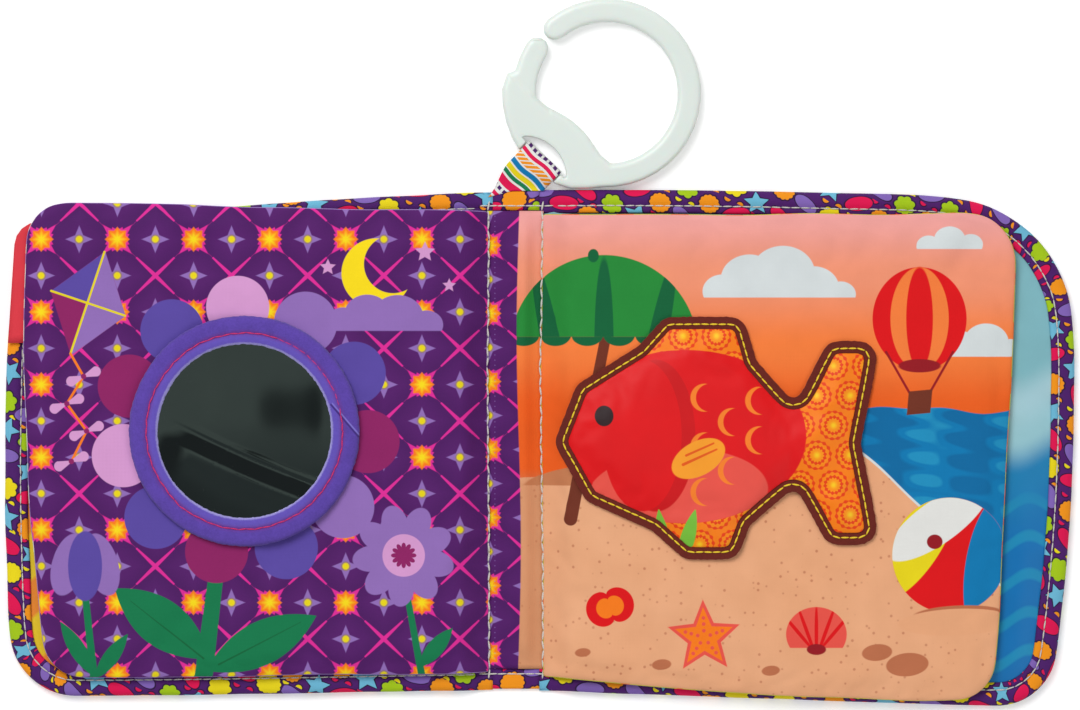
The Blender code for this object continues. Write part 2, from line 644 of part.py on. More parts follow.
def make_mirror(pivot):
    """Backing disc, mirror film, felt ring that frames it, and the ring's stitching."""
    centre = (-(SEAM_X + MIRROR_S), MIRROR_Y)
    disc = Disc(centre, MIRROR_FILM_RADIUS)
    backing_top = ON_LEAF + MIRROR_BACKING
    film_low = backing_top + LAYER_GAP
    film_top = film_low + MIRROR_FILM
    felt_low = film_top + LAYER_GAP
    felt_top = felt_low + MIRROR_FELT
    add_mesh("mirror_backing", loft(disc, [(0, ON_LEAF), (0, backing_top)]), pivot, ((0.7, 0.7, 0.7), 0.8))
    add_mesh("mirror_film", loft(disc, [(0, film_low), (0, film_top)]), pivot, ((0.6, 0.6, 0.6), 0.08, 1.0))
    step_radius = MIRROR_FILM_RADIUS + LAYER_GAP
    ease = MIRROR_FELT / 2
    section = [(MIRROR_WINDOW_RADIUS, felt_low), (MIRROR_WINDOW_RADIUS, felt_top),
               (MIRROR_RING_RADIUS - ease, felt_top), (MIRROR_RING_RADIUS, felt_top - ease),
               (MIRROR_RING_RADIUS, ON_LEAF), (step_radius, ON_LEAF), (step_radius, felt_low)]
    add_mesh("mirror_felt_ring", turned(section, centre), pivot, ((0.13, 0.08, 0.45), 0.95))
    radius = MIRROR_RING_RADIUS - MIRROR_STITCH_INSET
    height = felt_top + LAYER_GAP + MIRROR_THREAD_RADIUS
    path = [(x, y, height) for x, y in Disc(centre, radius).points()]
    add_tube("mirror_stitch", path, MIRROR_THREAD_RADIUS, pivot, ((0.70, 0.05, 0.15), 0.7), closed=True)


def make_patch(pivot):
    """The padded fish patch: felt backing, wadding, printed top and its stitching."""
    corners = [(PATCH_S + x_share * PATCH_WIDTH, -PATCH_FOOT + y_share * PATCH_HEIGHT)
               for x_share, y_share in PATCH_OUTLINE_SHARES]
    radii = []
    for index, corner in enumerate(corners):
        before = Vector(corner) - Vector(corners[index - 1])
        after = Vector(corners[(index + 1) % len(corners)]) - Vector(corner)
        outward_turn = before.x * after.y - before.y * after.x > 0
        radii.append(PATCH_CORNER_RADIUS if outward_turn else PATCH_NOTCH_RADIUS)
    felt = Outline(corners, radii, [0] * len(corners), PATCH_CORNER_STEPS)
    felt_top = ON_LEAF + PATCH_FELT
    body = slope_to_seam(loft(felt, [(0, ON_LEAF), (0, felt_top)]), LEAF_DROP)
    add_mesh("patch_felt", to_side(body, RIGHT), pivot, ((0.16, 0.03, 0.03), 0.95))

    top = felt.inset(PATCH_FELT_BORDER)
    rim_low = felt_top + LAYER_GAP
    crown_rise = PATCH_WADDING + LAYER_GAP
    profile = [(PATCH_CROWN_REACH, rim_low + crown_rise), (0, rim_low), (0, rim_low + PAGE_CLOTH),
               (PATCH_CROWN_REACH, rim_low + PAGE_CLOTH + crown_rise)]
    body = slope_to_seam(loft(top, profile), LEAF_DROP)
    add_mesh("patch_top", to_side(body, RIGHT), pivot, ((0.75, 0.05, 0.03), 0.6))

    filling = top.inset(PATCH_CROWN_REACH)
    body = slope_to_seam(loft(filling, [(0, rim_low), (0, rim_low + PATCH_WADDING)]), LEAF_DROP)
    add_mesh("patch_wadding", to_side(body, RIGHT), pivot, ((0.85, 0.85, 0.85), 0.9))

    line = felt.inset(PATCH_STITCH_INSET).points()
    rise = crown_rise * (PATCH_STITCH_INSET - PATCH_FELT_BORDER) / PATCH_CROWN_REACH
    height = rim_low + PAGE_CLOTH + rise + 2 * LAYER_GAP + PATCH_THREAD_RADIUS
    path = [(SEAM_X + x, y, z) for x, y, z in sloped_path(line, height, LEAF_DROP, closed=True)]
    add_tube("patch_stitch", path, PATCH_THREAD_RADIUS, pivot, ((0.80, 0.50, 0.04), 0.7), closed=True)


def polar(centre, radius, degrees):
    """A point at a radius and an angle from a centre."""
    turn = math.radians(degrees)
    return Vector((centre[0] + radius * math.cos(turn), centre[1] + radius * math.sin(turn)))


def ring_centre():
    """The clip ring lies just clear of the right cover's head."""
    return RING_X, SPINE_HALF_HEIGHT + RING_CLEAR_OF_COVER + RING_OUTER_RADIUS


def angles(start, end, step):
    """Angles from start to end in equal steps of about the given size."""
    count = max(1, round(abs(end - start) / step))
    return [start + (end - start) * index / count for index in range(count + 1)]


def ring_inner_radius(degrees):
    """The ring's inner edge, with the hump that backs the ribbon slot."""
    offset = abs(degrees - RING_HUMP_DEG) / RING_HUMP_HALF_DEG
    hump = RING_HUMP * (1 - offset ** RING_HUMP_POWER) if offset < 1 else 0
    return RING_INNER_RADIUS - hump


def ring_outer_radius(degrees):
    """The ring's outer edge, which widens into the body round the slot."""
    share = (RING_BODY_START_DEG - degrees) / (RING_BODY_START_DEG - RING_BODY_FULL_DEG)
    share = min(max(share, 0), 1)
    eased = share * share * (3 - 2 * share)
    return RING_OUTER_RADIUS + (RING_BODY_RADIUS - RING_OUTER_RADIUS) * eased


def ring_outline():
    """The open ring seen from above, clockwise from the end of its upper arm."""
    centre = ring_centre()
    arm_end = RING_ARM_END_DEG + 360
    middle = (RING_OUTER_RADIUS + RING_INNER_RADIUS) / 2
    half = (RING_OUTER_RADIUS - RING_INNER_RADIUS) / 2
    points = [polar(centre, ring_outer_radius(turn), turn)
              for turn in angles(arm_end, RING_SPUR_DEG + RING_STEP_DEG, RING_STEP_DEG)]
    points.append(polar(centre, RING_SPUR_RADIUS, RING_SPUR_DEG))
    finger = angles(RING_NOTCH_DEG, RING_FINGER_END_DEG, RING_STEP_DEG)
    points += [polar(centre, RING_OUTER_RADIUS, turn) for turn in finger]
    tip = polar(centre, middle, RING_FINGER_END_DEG)
    points += [polar(tip, half, RING_FINGER_END_DEG - turn)
               for turn in angles(0, 180, 180 / RING_END_STEPS)[1:-1]]
    points += [polar(centre, ring_inner_radius(turn), turn)
               for turn in angles(RING_FINGER_END_DEG, arm_end, RING_STEP_DEG)]
    tip = polar(centre, middle, RING_ARM_END_DEG)
    points += [polar(tip, half, RING_ARM_END_DEG + 180 - turn)
               for turn in angles(0, 180, 180 / RING_END_STEPS)[1:-1]]
    return points


def bar_frame():
    """Centre of the ribbon's bar, the direction along it and the direction away from the ring."""
    centre = polar(ring_centre(), BAR_SLOT_RADIUS + BAR_WIDTH / 2, BAR_DEG)
    outwards = polar((0, 0), 1, BAR_DEG)
    along = Vector((-outwards.y, outwards.x))
    return centre, along, outwards


def from_bar(along_bar, outward, height):
    """A point given along the bar, outwards from it and above the resting surface."""
    centre, along, outwards = bar_frame()
    place = centre + along * along_bar + outwards * outward
    return Vector((place.x, place.y, height))


def bar_box(low, high):
    """A box set square to the bar."""
    mesh = box(low, high)
    for vertex in mesh.verts:
        vertex.co = from_bar(*vertex.co)
    return face_out(mesh)


def make_ring(pivot):
    """The open clip ring, its slot and the slim bar that the ribbon goes round."""
    plate = prism([(x, y, 0) for x, y in ring_outline()], (0, 0, RING_THICKNESS))
    ring = add_mesh("clip_ring", plate, pivot, ((0.72, 0.80, 0.75), 0.35))
    rounding = ring.modifiers.new("edge_rounding", "BEVEL")
    rounding.width = RING_EDGE_ROUNDING
    rounding.segments = 2
    rounding.limit_method = "ANGLE"
    rounding.angle_limit = math.radians(60)

    chord = -BAR_WIDTH / 2
    radius = (SLOT_HALF_LENGTH ** 2 + SLOT_DEPTH ** 2) / (2 * SLOT_DEPTH)
    half_turn = math.degrees(math.asin(SLOT_HALF_LENGTH / radius))
    slot = []
    for turn in angles(-half_turn, half_turn, 2 * half_turn / SLOT_STEPS):
        along_bar = radius * math.sin(math.radians(turn))
        outward = chord - SLOT_DEPTH + radius * (1 - math.cos(math.radians(turn)))
        slot.append(from_bar(along_bar, outward, -CUT_OVERRUN))
    depth = RING_THICKNESS + 2 * CUT_OVERRUN
    cut(ring, "slot_cutter", prism(slot, (0, 0, depth)))

    half = RIBBON_WIDTH / 2 + RIBBON_SIDE_PLAY
    beyond = RING_BODY_RADIUS - RING_INNER_RADIUS
    bar_low = RING_THICKNESS / 2 - BAR_THICKNESS / 2
    bar_high = RING_THICKNESS / 2 + BAR_THICKNESS / 2
    inward = chord - SLOT_DEPTH / 4
    below = bar_box((-half, inward, -CUT_OVERRUN), (half, beyond, bar_low))
    above = bar_box((-half, inward, bar_high), (half, beyond, RING_THICKNESS + CUT_OVERRUN))
    outside = bar_box((-half, BAR_WIDTH / 2, -CUT_OVERRUN), (half, beyond, RING_THICKNESS + CUT_OVERRUN))
    cut(ring, "bar_below_cutter", below)
    cut(ring, "bar_above_cutter", above)
    cut(ring, "bar_outside_cutter", outside)


def make_ribbon(pivot):
    """The ribbon, folded round the bar and sewn into the head of the spine."""
    middle = RING_THICKNESS / 2
    hole = math.hypot(BAR_WIDTH, BAR_THICKNESS) / 2 + RIBBON_BAR_PLAY
    outer = hole + RIBBON_CLOTH
    centre, along, outwards = bar_frame()
    tail_y = SPINE_HALF_HEIGHT + RIBBON_TAIL_GAP
    corner_reach = abs(along.y) * RIBBON_WIDTH / 2
    longest = (centre.y + corner_reach - tail_y) / -outwards.y + outer
    half = RIBBON_WIDTH / 2

    def loop(radius, tail_half, tail_at):
        section = [(radius * -math.cos(math.radians(turn)), middle + radius * math.sin(math.radians(turn)))
                   for turn in angles(-100, 100, 200 / RIBBON_ARC_STEPS)]
        return section + [(tail_at, RIBBON_HINGE_Z + tail_half), (tail_at, RIBBON_HINGE_Z - tail_half)]

    band = prism([from_bar(-half, outward, z) for outward, z in loop(outer, RIBBON_TAIL / 2, longest)],
                 (along.x * RIBBON_WIDTH, along.y * RIBBON_WIDTH, 0))
    ribbon = add_mesh("ribbon_loop", band, pivot, ((0.80, 0.35, 0.10), 0.6))
    start = -half - CUT_OVERRUN
    depth = RIBBON_WIDTH + 2 * CUT_OVERRUN
    inner_half = RIBBON_TAIL / 2 - RIBBON_CLOTH / 2
    nearest = (centre.y - corner_reach - tail_y) / -outwards.y - RIBBON_TAIL
    hollow = prism([from_bar(start, outward, z) for outward, z in loop(hole, inner_half / 2, nearest)],
                   (along.x * depth, along.y * depth, 0))
    cut(ribbon, "ribbon_hollow_cutter", hollow)
    reach = longest + RIBBON_WIDTH
    edge = box((centre.x - reach, tail_y - reach, -CUT_OVERRUN),
               (centre.x + reach, tail_y, RING_THICKNESS + CUT_OVERRUN))
    cut(ribbon, "ribbon_end_cutter", edge)


def leaf_hinge_z():
    """The middle of a leaf's root, pressed down beside the seam."""
    middle = (LEAF_LOW + LEAF_RIM_LOW + PAGE_CLOTH) / 2
    return middle - LEAF_DROP * (1 - flatness(LEAF_SETBACK))


def build():
    """Model the whole book."""
    for item in list(bpy.data.objects):
        bpy.data.objects.remove(item, do_unlink=True)
    for name in (BOOK_NAME, BOOK_NAME + "_cutters"):
        bpy.context.scene.collection.children.link(bpy.data.collections.new(name))

    root = add_pivot("spine_pivot", (0, 0, 0))
    make_spine(root)
    for side, name, colour in ((LEFT, "left", (0.09, 0.01, 0.14)), (RIGHT, "right", (0.85, 0.30, 0.12))):
        cover_pivot = add_pivot(name + "_cover_pivot", (side * SEAM_X, 0, SEAM_HEIGHT), root)
        make_cover(side, name + "_cover", cover_pivot)
        leaf_x = side * (SEAM_X + LEAF_HINGE_SETBACK)
        leaf_pivot = add_pivot(name + "_leaf_pivot", (leaf_x, 0, leaf_hinge_z()), cover_pivot)
        make_leaf(side, name + "_leaf", leaf_pivot, colour)
        if side == LEFT:
            flap_x = -(SEAM_X + LEFT_COVER_WIDTH - FLAP_OVERHANG - FLAP_WIDTH)
            make_flap(add_pivot("flap_pivot", (flap_x, FLAP_FOOT, (FLAP_LOW + FLAP_TOP) / 2), cover_pivot))
            make_mirror(leaf_pivot)
        else:
            make_patch(leaf_pivot)

    hinge_y = SPINE_HALF_HEIGHT + RIBBON_HINGE_GAP
    ribbon_pivot = add_pivot("ribbon_pivot", (0, hinge_y, RIBBON_HINGE_Z), root)
    make_ribbon(ribbon_pivot)
    bar, along, outwards = bar_frame()
    make_ring(add_pivot("ring_pivot", (bar.x, bar.y, RING_THICKNESS / 2), ribbon_pivot))


build()
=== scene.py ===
"""Looks of the open baby soft book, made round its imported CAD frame."""
import json
import math
import random

import bmesh
import bpy
from bpy.props import FloatProperty, FloatVectorProperty, IntProperty, PointerProperty
from mathutils import Matrix, Vector, geometry, kdtree, noise


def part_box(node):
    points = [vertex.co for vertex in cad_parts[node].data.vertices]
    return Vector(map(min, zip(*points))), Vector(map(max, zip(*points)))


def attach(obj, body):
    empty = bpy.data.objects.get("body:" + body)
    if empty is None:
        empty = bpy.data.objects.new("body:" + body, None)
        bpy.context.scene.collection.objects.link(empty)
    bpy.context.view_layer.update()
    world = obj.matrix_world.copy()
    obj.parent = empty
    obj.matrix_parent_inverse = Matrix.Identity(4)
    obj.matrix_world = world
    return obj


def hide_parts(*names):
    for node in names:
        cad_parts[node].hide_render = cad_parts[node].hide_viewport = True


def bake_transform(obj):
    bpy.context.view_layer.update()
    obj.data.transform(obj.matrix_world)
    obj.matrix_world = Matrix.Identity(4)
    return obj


bl_info = {
    "name": "Baby soft book",
    "version": (1, 0, 0),
    "blender": (4, 5, 0),
    "location": "3D View > Sidebar > Soft Book",
    "description": "Sews, pads and prints the open soft book round its frame",
    "category": "Object",
}

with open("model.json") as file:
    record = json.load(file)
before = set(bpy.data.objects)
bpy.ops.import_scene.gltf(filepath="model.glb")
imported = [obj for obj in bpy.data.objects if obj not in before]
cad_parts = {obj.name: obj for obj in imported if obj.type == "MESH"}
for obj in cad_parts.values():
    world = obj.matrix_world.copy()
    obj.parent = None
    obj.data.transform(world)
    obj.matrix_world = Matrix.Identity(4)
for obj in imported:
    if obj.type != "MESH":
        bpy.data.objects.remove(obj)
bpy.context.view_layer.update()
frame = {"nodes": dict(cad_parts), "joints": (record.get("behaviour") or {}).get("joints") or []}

MM = 0.001
RIGHT = 1
LEFT = -1
SIDE_NAMES = {LEFT: "left", RIGHT: "right"}
PLACE = "cloth_place"
IMAGE_WIDTH = 1080
IMAGE_HEIGHT = 710
PIXEL = 0.33 * MM
SEAM = abs(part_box("right_seam_thread")[0].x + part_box("right_seam_thread")[1].x) / 2
HEM_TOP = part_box("right_cover_cloth")[1].z
LEAF_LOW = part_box("right_leaf_back")[1].z - 0.5 * MM
LEAF_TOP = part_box("right_leaf_front")[1].z
HEM = 7.8 * MM
HEM_DROP = 2.4 * MM
LEAF_DROP = 3.2 * MM
SPINE_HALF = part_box("spine_cloth")[1].x
SPINE_THICKNESS = 0.4 * MM
INNER_THICKNESS = 0.35 * MM
SEAM_THREAD_END = 75.5 * MM
END_ROW = 77.4 * MM
BORDER_ROW = 5.3 * MM
PATCH_ROW = 2.5 * MM
CUT_PITCH = 3.0 * MM
RIBBON_HALF = 7.4 * MM
RIBBON_BEND = math.radians(100)
RIBBON_BEND_SHARE = 0.36
# The crease across the mirror and the line where the felt ring's ends overlap
CREASE = Vector((-118.0, 5.0)) * MM, Vector((-64.3, -18.8)) * MM
CREASE_HALF = 2.8
FELT_JOIN = Vector((-60.4, 12.1)) * MM, Vector((-51.4, 1.6)) * MM
# A point on the step across the clip ring's free arm, and the way across it
RING_STEP = Vector((-1.0, 118.4)) * MM
RING_STEP_WAY = Vector((0.66, 0.75))
# The photo's pixel that shows the origin, and the height that the camera's scale is right at
ORIGIN_PIXEL = (516, 440)
SCALE_HEIGHT = 6 * MM
SENSOR = 36.0
FLOOR_HALF = 4.0
FLOOR_GLOW = 0.26
CARD_HALF = 0.55
CARD_PLACE = Vector((-0.05, 0.02, 2.5))
PUFF_FRAMES = 20
ORIGIN = (0, 0, 0)
# How far apart the threads of the page cloth are, in millimetres
PAGE_WEAVE = 0.45

# The trellis print, in millimetres, and the shares of the hem print's kinds of motif
LINE_WIDTH = 0.66
LINE_TAPER = 0.045
LINE_END = 9.0
FAR_AWAY = 99.0
STARS_FROM = 0.25
BEANS_FROM = 0.42
TUFTS_FROM = 0.80
STAR_WAIST = 0.48


# Colours, written as the eight-bit values of a paint chart

def paint(red, green, blue):
    """A scene colour from eight-bit chart values."""
    def linear(value):
        share = value / 255
        return share / 12.92 if share <= 0.04045 else ((share + 0.055) / 1.055) ** 2.4
    return (linear(red), linear(green), linear(blue), 1.0)


PURPLE = paint(88, 28, 108)
PURPLE_DEEP = paint(76, 20, 96)
STAR_OLIVE = paint(150, 120, 110)
TRELLIS_PINK = paint(226, 42, 152)
BURST_ORANGE = paint(252, 125, 22)
HEART_YELLOW = paint(252, 222, 20)
LAVENDER = paint(146, 110, 184)
PETAL_BLUE = paint(90, 72, 162)
MAGENTA = paint(142, 30, 98)
PETAL_PINK = paint(216, 155, 208)
LEAF_GREEN = paint(10, 120, 74)
DARK_GREEN = paint(6, 96, 54)
SKY_PINK = paint(240, 164, 160)
SKY_PEACH = paint(244, 150, 116)
SKY_ORANGE = paint(249, 128, 60)
SKY_DEEP = paint(238, 96, 26)
SEA_BLUE = paint(0, 122, 180)
SEA_DARK = paint(0, 106, 162)
SEA_LIGHT = paint(28, 144, 192)
SAND = paint(236, 170, 126)
SAND_LIGHT = paint(244, 190, 152)
SAND_DEEP = paint(198, 126, 84)
SAND_SPECK = paint(190, 112, 76)
CLOUD = paint(216, 223, 224)
PARASOL_GREEN = paint(34, 136, 54)
RED = paint(224, 10, 18)
DARK_RED = paint(150, 18, 30)
CORAL = paint(236, 84, 72)
BROWN = paint(112, 48, 30)
WHITE = paint(232, 232, 228)
BORDER_PURPLE = paint(74, 24, 102)
BORDER_DARK = paint(36, 8, 52)
BORDER_LIME = paint(165, 200, 20)
BORDER_YELLOW = paint(236, 216, 20)
BORDER_ORANGE = paint(245, 150, 20)
BORDER_BLUE = paint(110, 185, 215)
BORDER_CRIMSON = paint(225, 10, 80)
BORDER_LAVENDER = paint(130, 100, 182)
LINING_AQUA = paint(152, 200, 210)
LINING_BLUE = paint(0, 112, 180)


# Wires and nodes

class Wire:
    """A value in a node tree. Sums and products of wires lay Math nodes."""

    def __init__(self, tree, socket):
        self.tree = tree
        self.socket = socket

    def __add__(self, other):
        return work(self.tree, "ADD", self, other)

    __radd__ = __add__

    def __sub__(self, other):
        return work(self.tree, "SUBTRACT", self, other)

    def __rsub__(self, other):
        return work(self.tree, "SUBTRACT", other, self)

    def __mul__(self, other):
        return work(self.tree, "MULTIPLY", self, other)

    __rmul__ = __mul__

    def __truediv__(self, other):
        return work(self.tree, "DIVIDE", self, other)

    def __rtruediv__(self, other):
        return work(self.tree, "DIVIDE", other, self)

    def does(self, operation, *others, clamp=False):
        """The result of a named Math operation on this wire."""
        return work(self.tree, operation, self, *others, clamp=clamp)

    def clamped(self):
        """This wire held between 0 and 1."""
        return work(self.tree, "ADD", self, 0.0, clamp=True)

    def split(self):
        """The X, Y and Z wires of a vector."""
        node = self.tree.nodes.new("ShaderNodeSeparateXYZ")
        connect(self.tree, self, node.inputs[0])
        return [Wire(self.tree, output) for output in node.outputs]


def connect(tree, value, socket):
    """Feed a socket with a wire or with a plain value."""
    if isinstance(value, Wire):
        tree.links.new(value.socket, socket)
    else:
        socket.default_value = value


def work(tree, operation, *values, clamp=False):
    """Lay one Math node."""
    node = tree.nodes.new("ShaderNodeMath")
    node.operation = operation
    node.use_clamp = clamp
    for socket, value in zip(node.inputs, values):
        connect(tree, value, socket)
    return Wire(tree, node.outputs[0])


def mixed(tree, share, first, second, blend="MIX"):
    """Lay one colour mix."""
    node = tree.nodes.new("ShaderNodeMix")
    node.data_type = "RGBA"
    node.blend_type = blend
    connect(tree, share, node.inputs[0])
    connect(tree, first, node.inputs[6])
    connect(tree, second, node.inputs[7])
    return Wire(tree, node.outputs[2])


def joined(tree, x, y, z=0.0):
    """A vector made of three wires."""
    node = tree.nodes.new("ShaderNodeCombineXYZ")
    for socket, value in zip(node.inputs, (x, y, z)):
        connect(tree, value, socket)
    return Wire(tree, node.outputs[0])


def ramp(tree, share, stops, constant=False):
    """Colours spread along a share from 0 to 1."""
    node = tree.nodes.new("ShaderNodeValToRGB")
    node.color_ramp.interpolation = "CONSTANT" if constant else "EASE"
    elements = node.color_ramp.elements
    while len(elements) < len(stops):
        elements.new(1.0)
    for element, (place, colour) in zip(elements, stops):
        element.position = place
        element.color = colour
    connect(tree, share, node.inputs[0])
    return Wire(tree, node.outputs[0])


def cloudy(tree, point, scale, detail=2.0, roughness=0.5):
    """A Noise texture's value."""
    node = tree.nodes.new("ShaderNodeTexNoise")
    connect(tree, point, node.inputs["Vector"])
    node.inputs["Scale"].default_value = scale
    node.inputs["Detail"].default_value = detail
    node.inputs["Roughness"].default_value = roughness
    return Wire(tree, node.outputs[0])


def scattered(tree, point):
    """Three random values for each whole-numbered place."""
    node = tree.nodes.new("ShaderNodeTexWhiteNoise")
    node.noise_dimensions = "2D"
    connect(tree, point, node.inputs["Vector"])
    return Wire(tree, node.outputs["Color"]).split()


def build_group(name):
    """A node group with named sockets, made at its first use from its entry in GROUPS."""
    if name in bpy.data.node_groups:
        return bpy.data.node_groups[name]
    inputs, outputs, recipe = GROUPS[name]
    group = bpy.data.node_groups.new(name, "ShaderNodeTree")
    for label, value in inputs.items():
        kind = "NodeSocketVector" if isinstance(value, tuple) else "NodeSocketFloat"
        group.interface.new_socket(label, in_out="INPUT", socket_type=kind).default_value = value
    for label in outputs:
        kind = "NodeSocketColor" if label == "Colour" else "NodeSocketFloat"
        group.interface.new_socket(label, in_out="OUTPUT", socket_type=kind)
    source = group.nodes.new("NodeGroupInput")
    sink = group.nodes.new("NodeGroupOutput")
    results = recipe(group, *[Wire(group, source.outputs[label]) for label in inputs])
    for label, wire in zip(outputs, results):
        connect(group, wire, sink.inputs[label])
    return group


def use_group(tree, name, *values):
    """Place a named group in a tree, its inputs fed in order. Gives its outputs."""
    node = tree.nodes.new("ShaderNodeGroup")
    node.node_tree = build_group(name)
    for socket, value in zip(node.inputs, values):
        connect(tree, value, socket)
    outputs = [Wire(tree, output) for output in node.outputs]
    return outputs[0] if len(outputs) == 1 else outputs


# Printed shapes, in millimetres on the open book

def steps_from(point, centre):
    """A point's steps from a centre, along X and Y."""
    px, py, _pz = point.split()
    cx, cy, _cz = centre.split()
    return px - cx, py - cy


def reach_of(x, y):
    """The length of a pair of steps."""
    return (x * x + y * y).does("SQRT")


def turned(x, y, turn):
    """A pair of steps in a frame that is turned."""
    cosine, sine = turn.does("COSINE"), turn.does("SINE")
    return x * cosine + y * sine, y * cosine - x * sine


def edged(inside, soft):
    """A mask of what lies inside an edge, softened over a width."""
    return (inside / soft + 0.5).clamped()


def folded_angle(angle, sector):
    """An angle folded to and fro, 0 at each point of a star and half a sector between points."""
    return ((angle / sector + 0.5).does("FRACT") - 0.5).does("ABSOLUTE") * sector


def blob_recipe(tree, point, centre, half, turn, soft):
    """A turned ellipse."""
    hx, hy, _hz = half.split()
    along, across = turned(*steps_from(point, centre), turn)
    return [edged((1.0 - reach_of(along / hx, across / hy)) * hx.does("MINIMUM", hy), soft)]


def petals_recipe(tree, point, centre, radius, count, depth, sharpness, turn, soft):
    """A star, burst or scalloped flower, by the depth and sharpness of its points."""
    dx, dy = steps_from(point, centre)
    angle = dy.does("ARCTAN2", dx) - turn
    wave = (angle * count / 2.0).does("COSINE").does("ABSOLUTE").does("POWER", sharpness)
    return [edged(radius * (1.0 - depth * (1.0 - wave)) - reach_of(dx, dy), soft)]


def star_recipe(tree, point, centre, radius, waist, count, turn, soft):
    """A star of straight edges; the waist is its inner corners' share of the radius."""
    dx, dy = steps_from(point, centre)
    sector = math.tau / count
    folded = folded_angle(dy.does("ARCTAN2", dx) - turn, sector)
    side = waist * (sector / 2.0).does("SINE")
    slope = 1.0 - waist * (sector / 2.0).does("COSINE")
    inside = radius * side - reach_of(dx, dy) * (folded.does("COSINE") * side + folded.does("SINE") * slope)
    return [edged(inside / reach_of(side, slope), soft)]


def stroke_recipe(tree, point, start, end, widths, soft):
    """A line from start to end. Widths are half widths at the start, at the end and added midway."""
    w0, w1, belly = widths.split()
    lx, ly = steps_from(end, start)
    dx, dy = steps_from(point, start)
    share = ((dx * lx + dy * ly) / (lx * lx + ly * ly)).clamped()
    half = w0 + (w1 - w0) * share + belly * 4.0 * share * (1.0 - share)
    return [edged(half - reach_of(dx - lx * share, dy - ly * share), soft)]


def polygon_recipe(tree, point, centre, half, sides, turn, soft):
    """A regular polygon, stretched to its half sizes."""
    hx, hy, _hz = half.split()
    along, across = turned(*steps_from(point, centre), turn)
    u, v = along / hx, across / hy
    sector = math.tau / sides
    off = (v.does("ARCTAN2", u) / sector).does("FRACT") * sector - sector / 2.0
    inside = (sector / 2.0).does("COSINE") - reach_of(u, v) * off.does("COSINE")
    return [edged(inside * hx.does("MINIMUM", hy), soft)]


def petal_ring_recipe(tree, point, centre, ring, half, count, turn, soft):
    """Round petals set in a ring, and a pick of colour for each."""
    hx, hy, _hz = half.split()
    dx, dy = steps_from(point, centre)
    reach = reach_of(dx, dy)
    sector = math.tau / count
    place = (dy.does("ARCTAN2", dx) - turn) / sector
    index = place.does("FLOOR")
    angle = (place - index - 0.5) * sector
    away = reach_of((reach * angle.does("COSINE") - ring) / hx, reach * angle.does("SINE") / hy)
    mask = edged((1.0 - away) * hx.does("MINIMUM", hy), soft)
    return [mask, (index * 0.37 + 0.13).does("FRACT")]


def trellis_recipe(tree, point, start, pitch):
    """Tapered lines that cross, bursts on every other crossing, stars between."""
    wx, wy, _wz = pitch.split()
    dx, dy = steps_from(point, start)
    u, v = dx / wx, dy / wy
    first, second = u + v, u - v
    near_a, near_b = first.does("ROUND"), second.does("ROUND")
    off_a, off_b = first - near_a, second - near_b
    diagonal = reach_of(wx, wy)
    span, reach = wx * wy / diagonal, diagonal / 2.0
    odd = ((near_a + near_b) / 2.0).does("FRACT") * 2.0
    lines = []
    for across, along in ((off_a, off_b), (off_b, off_a)):
        run = along.does("ABSOLUTE") * reach
        width = (LINE_WIDTH - run * LINE_TAPER) * odd - run.does("GREATER_THAN", LINE_END)
        lines.append(edged(width - across.does("ABSOLUTE") * span, 0.22))
    away = odd * FAR_AWAY
    burst_at = joined(tree, (off_a + off_b) * wx / 2.0 + away, (off_a - off_b) * wy / 2.0)
    half_a, half_b = first - 0.5, second - 0.5
    star_a, star_b = half_a - half_a.does("ROUND"), half_b - half_b.does("ROUND")
    star_at = joined(tree, (star_a + star_b) * wx / 2.0, (star_a - star_b) * wy / 2.0)
    rays, sparks, burst, core, spark = (
        use_group(tree, "printed_star", place, ORIGIN, radius, waist, count, turn, soft)
        for place, radius, waist, count, turn, soft in (
            (burst_at, 6.8, 0.34, 4.0, math.pi / 4, 0.3), (burst_at, 4.3, 0.72, 8.0, math.pi / 8, 0.3),
            (burst_at, 4.1, 0.74, 8.0, 0.0, 0.35), (burst_at, 2.3, 0.6, 8.0, 0.0, 1.3),
            (star_at, 4.5, 0.41, 4.0, 0.0, 0.3)))
    rim, dot = (use_group(tree, "printed_blob", star_at, ORIGIN, (size, size, 0), 0.0, 0.4)
                for size in (1.55, 1.1))
    nearest = off_a.does("ABSOLUTE").does("MINIMUM", off_b.does("ABSOLUTE"))
    deep = 1.0 - (nearest * 4.2 - 0.25).clamped() * 0.6
    pink = lines[0].does("MAXIMUM", lines[1]).does("MAXIMUM", rays).does("MAXIMUM", sparks)
    return [pink, burst, core, spark, rim, dot, deep]


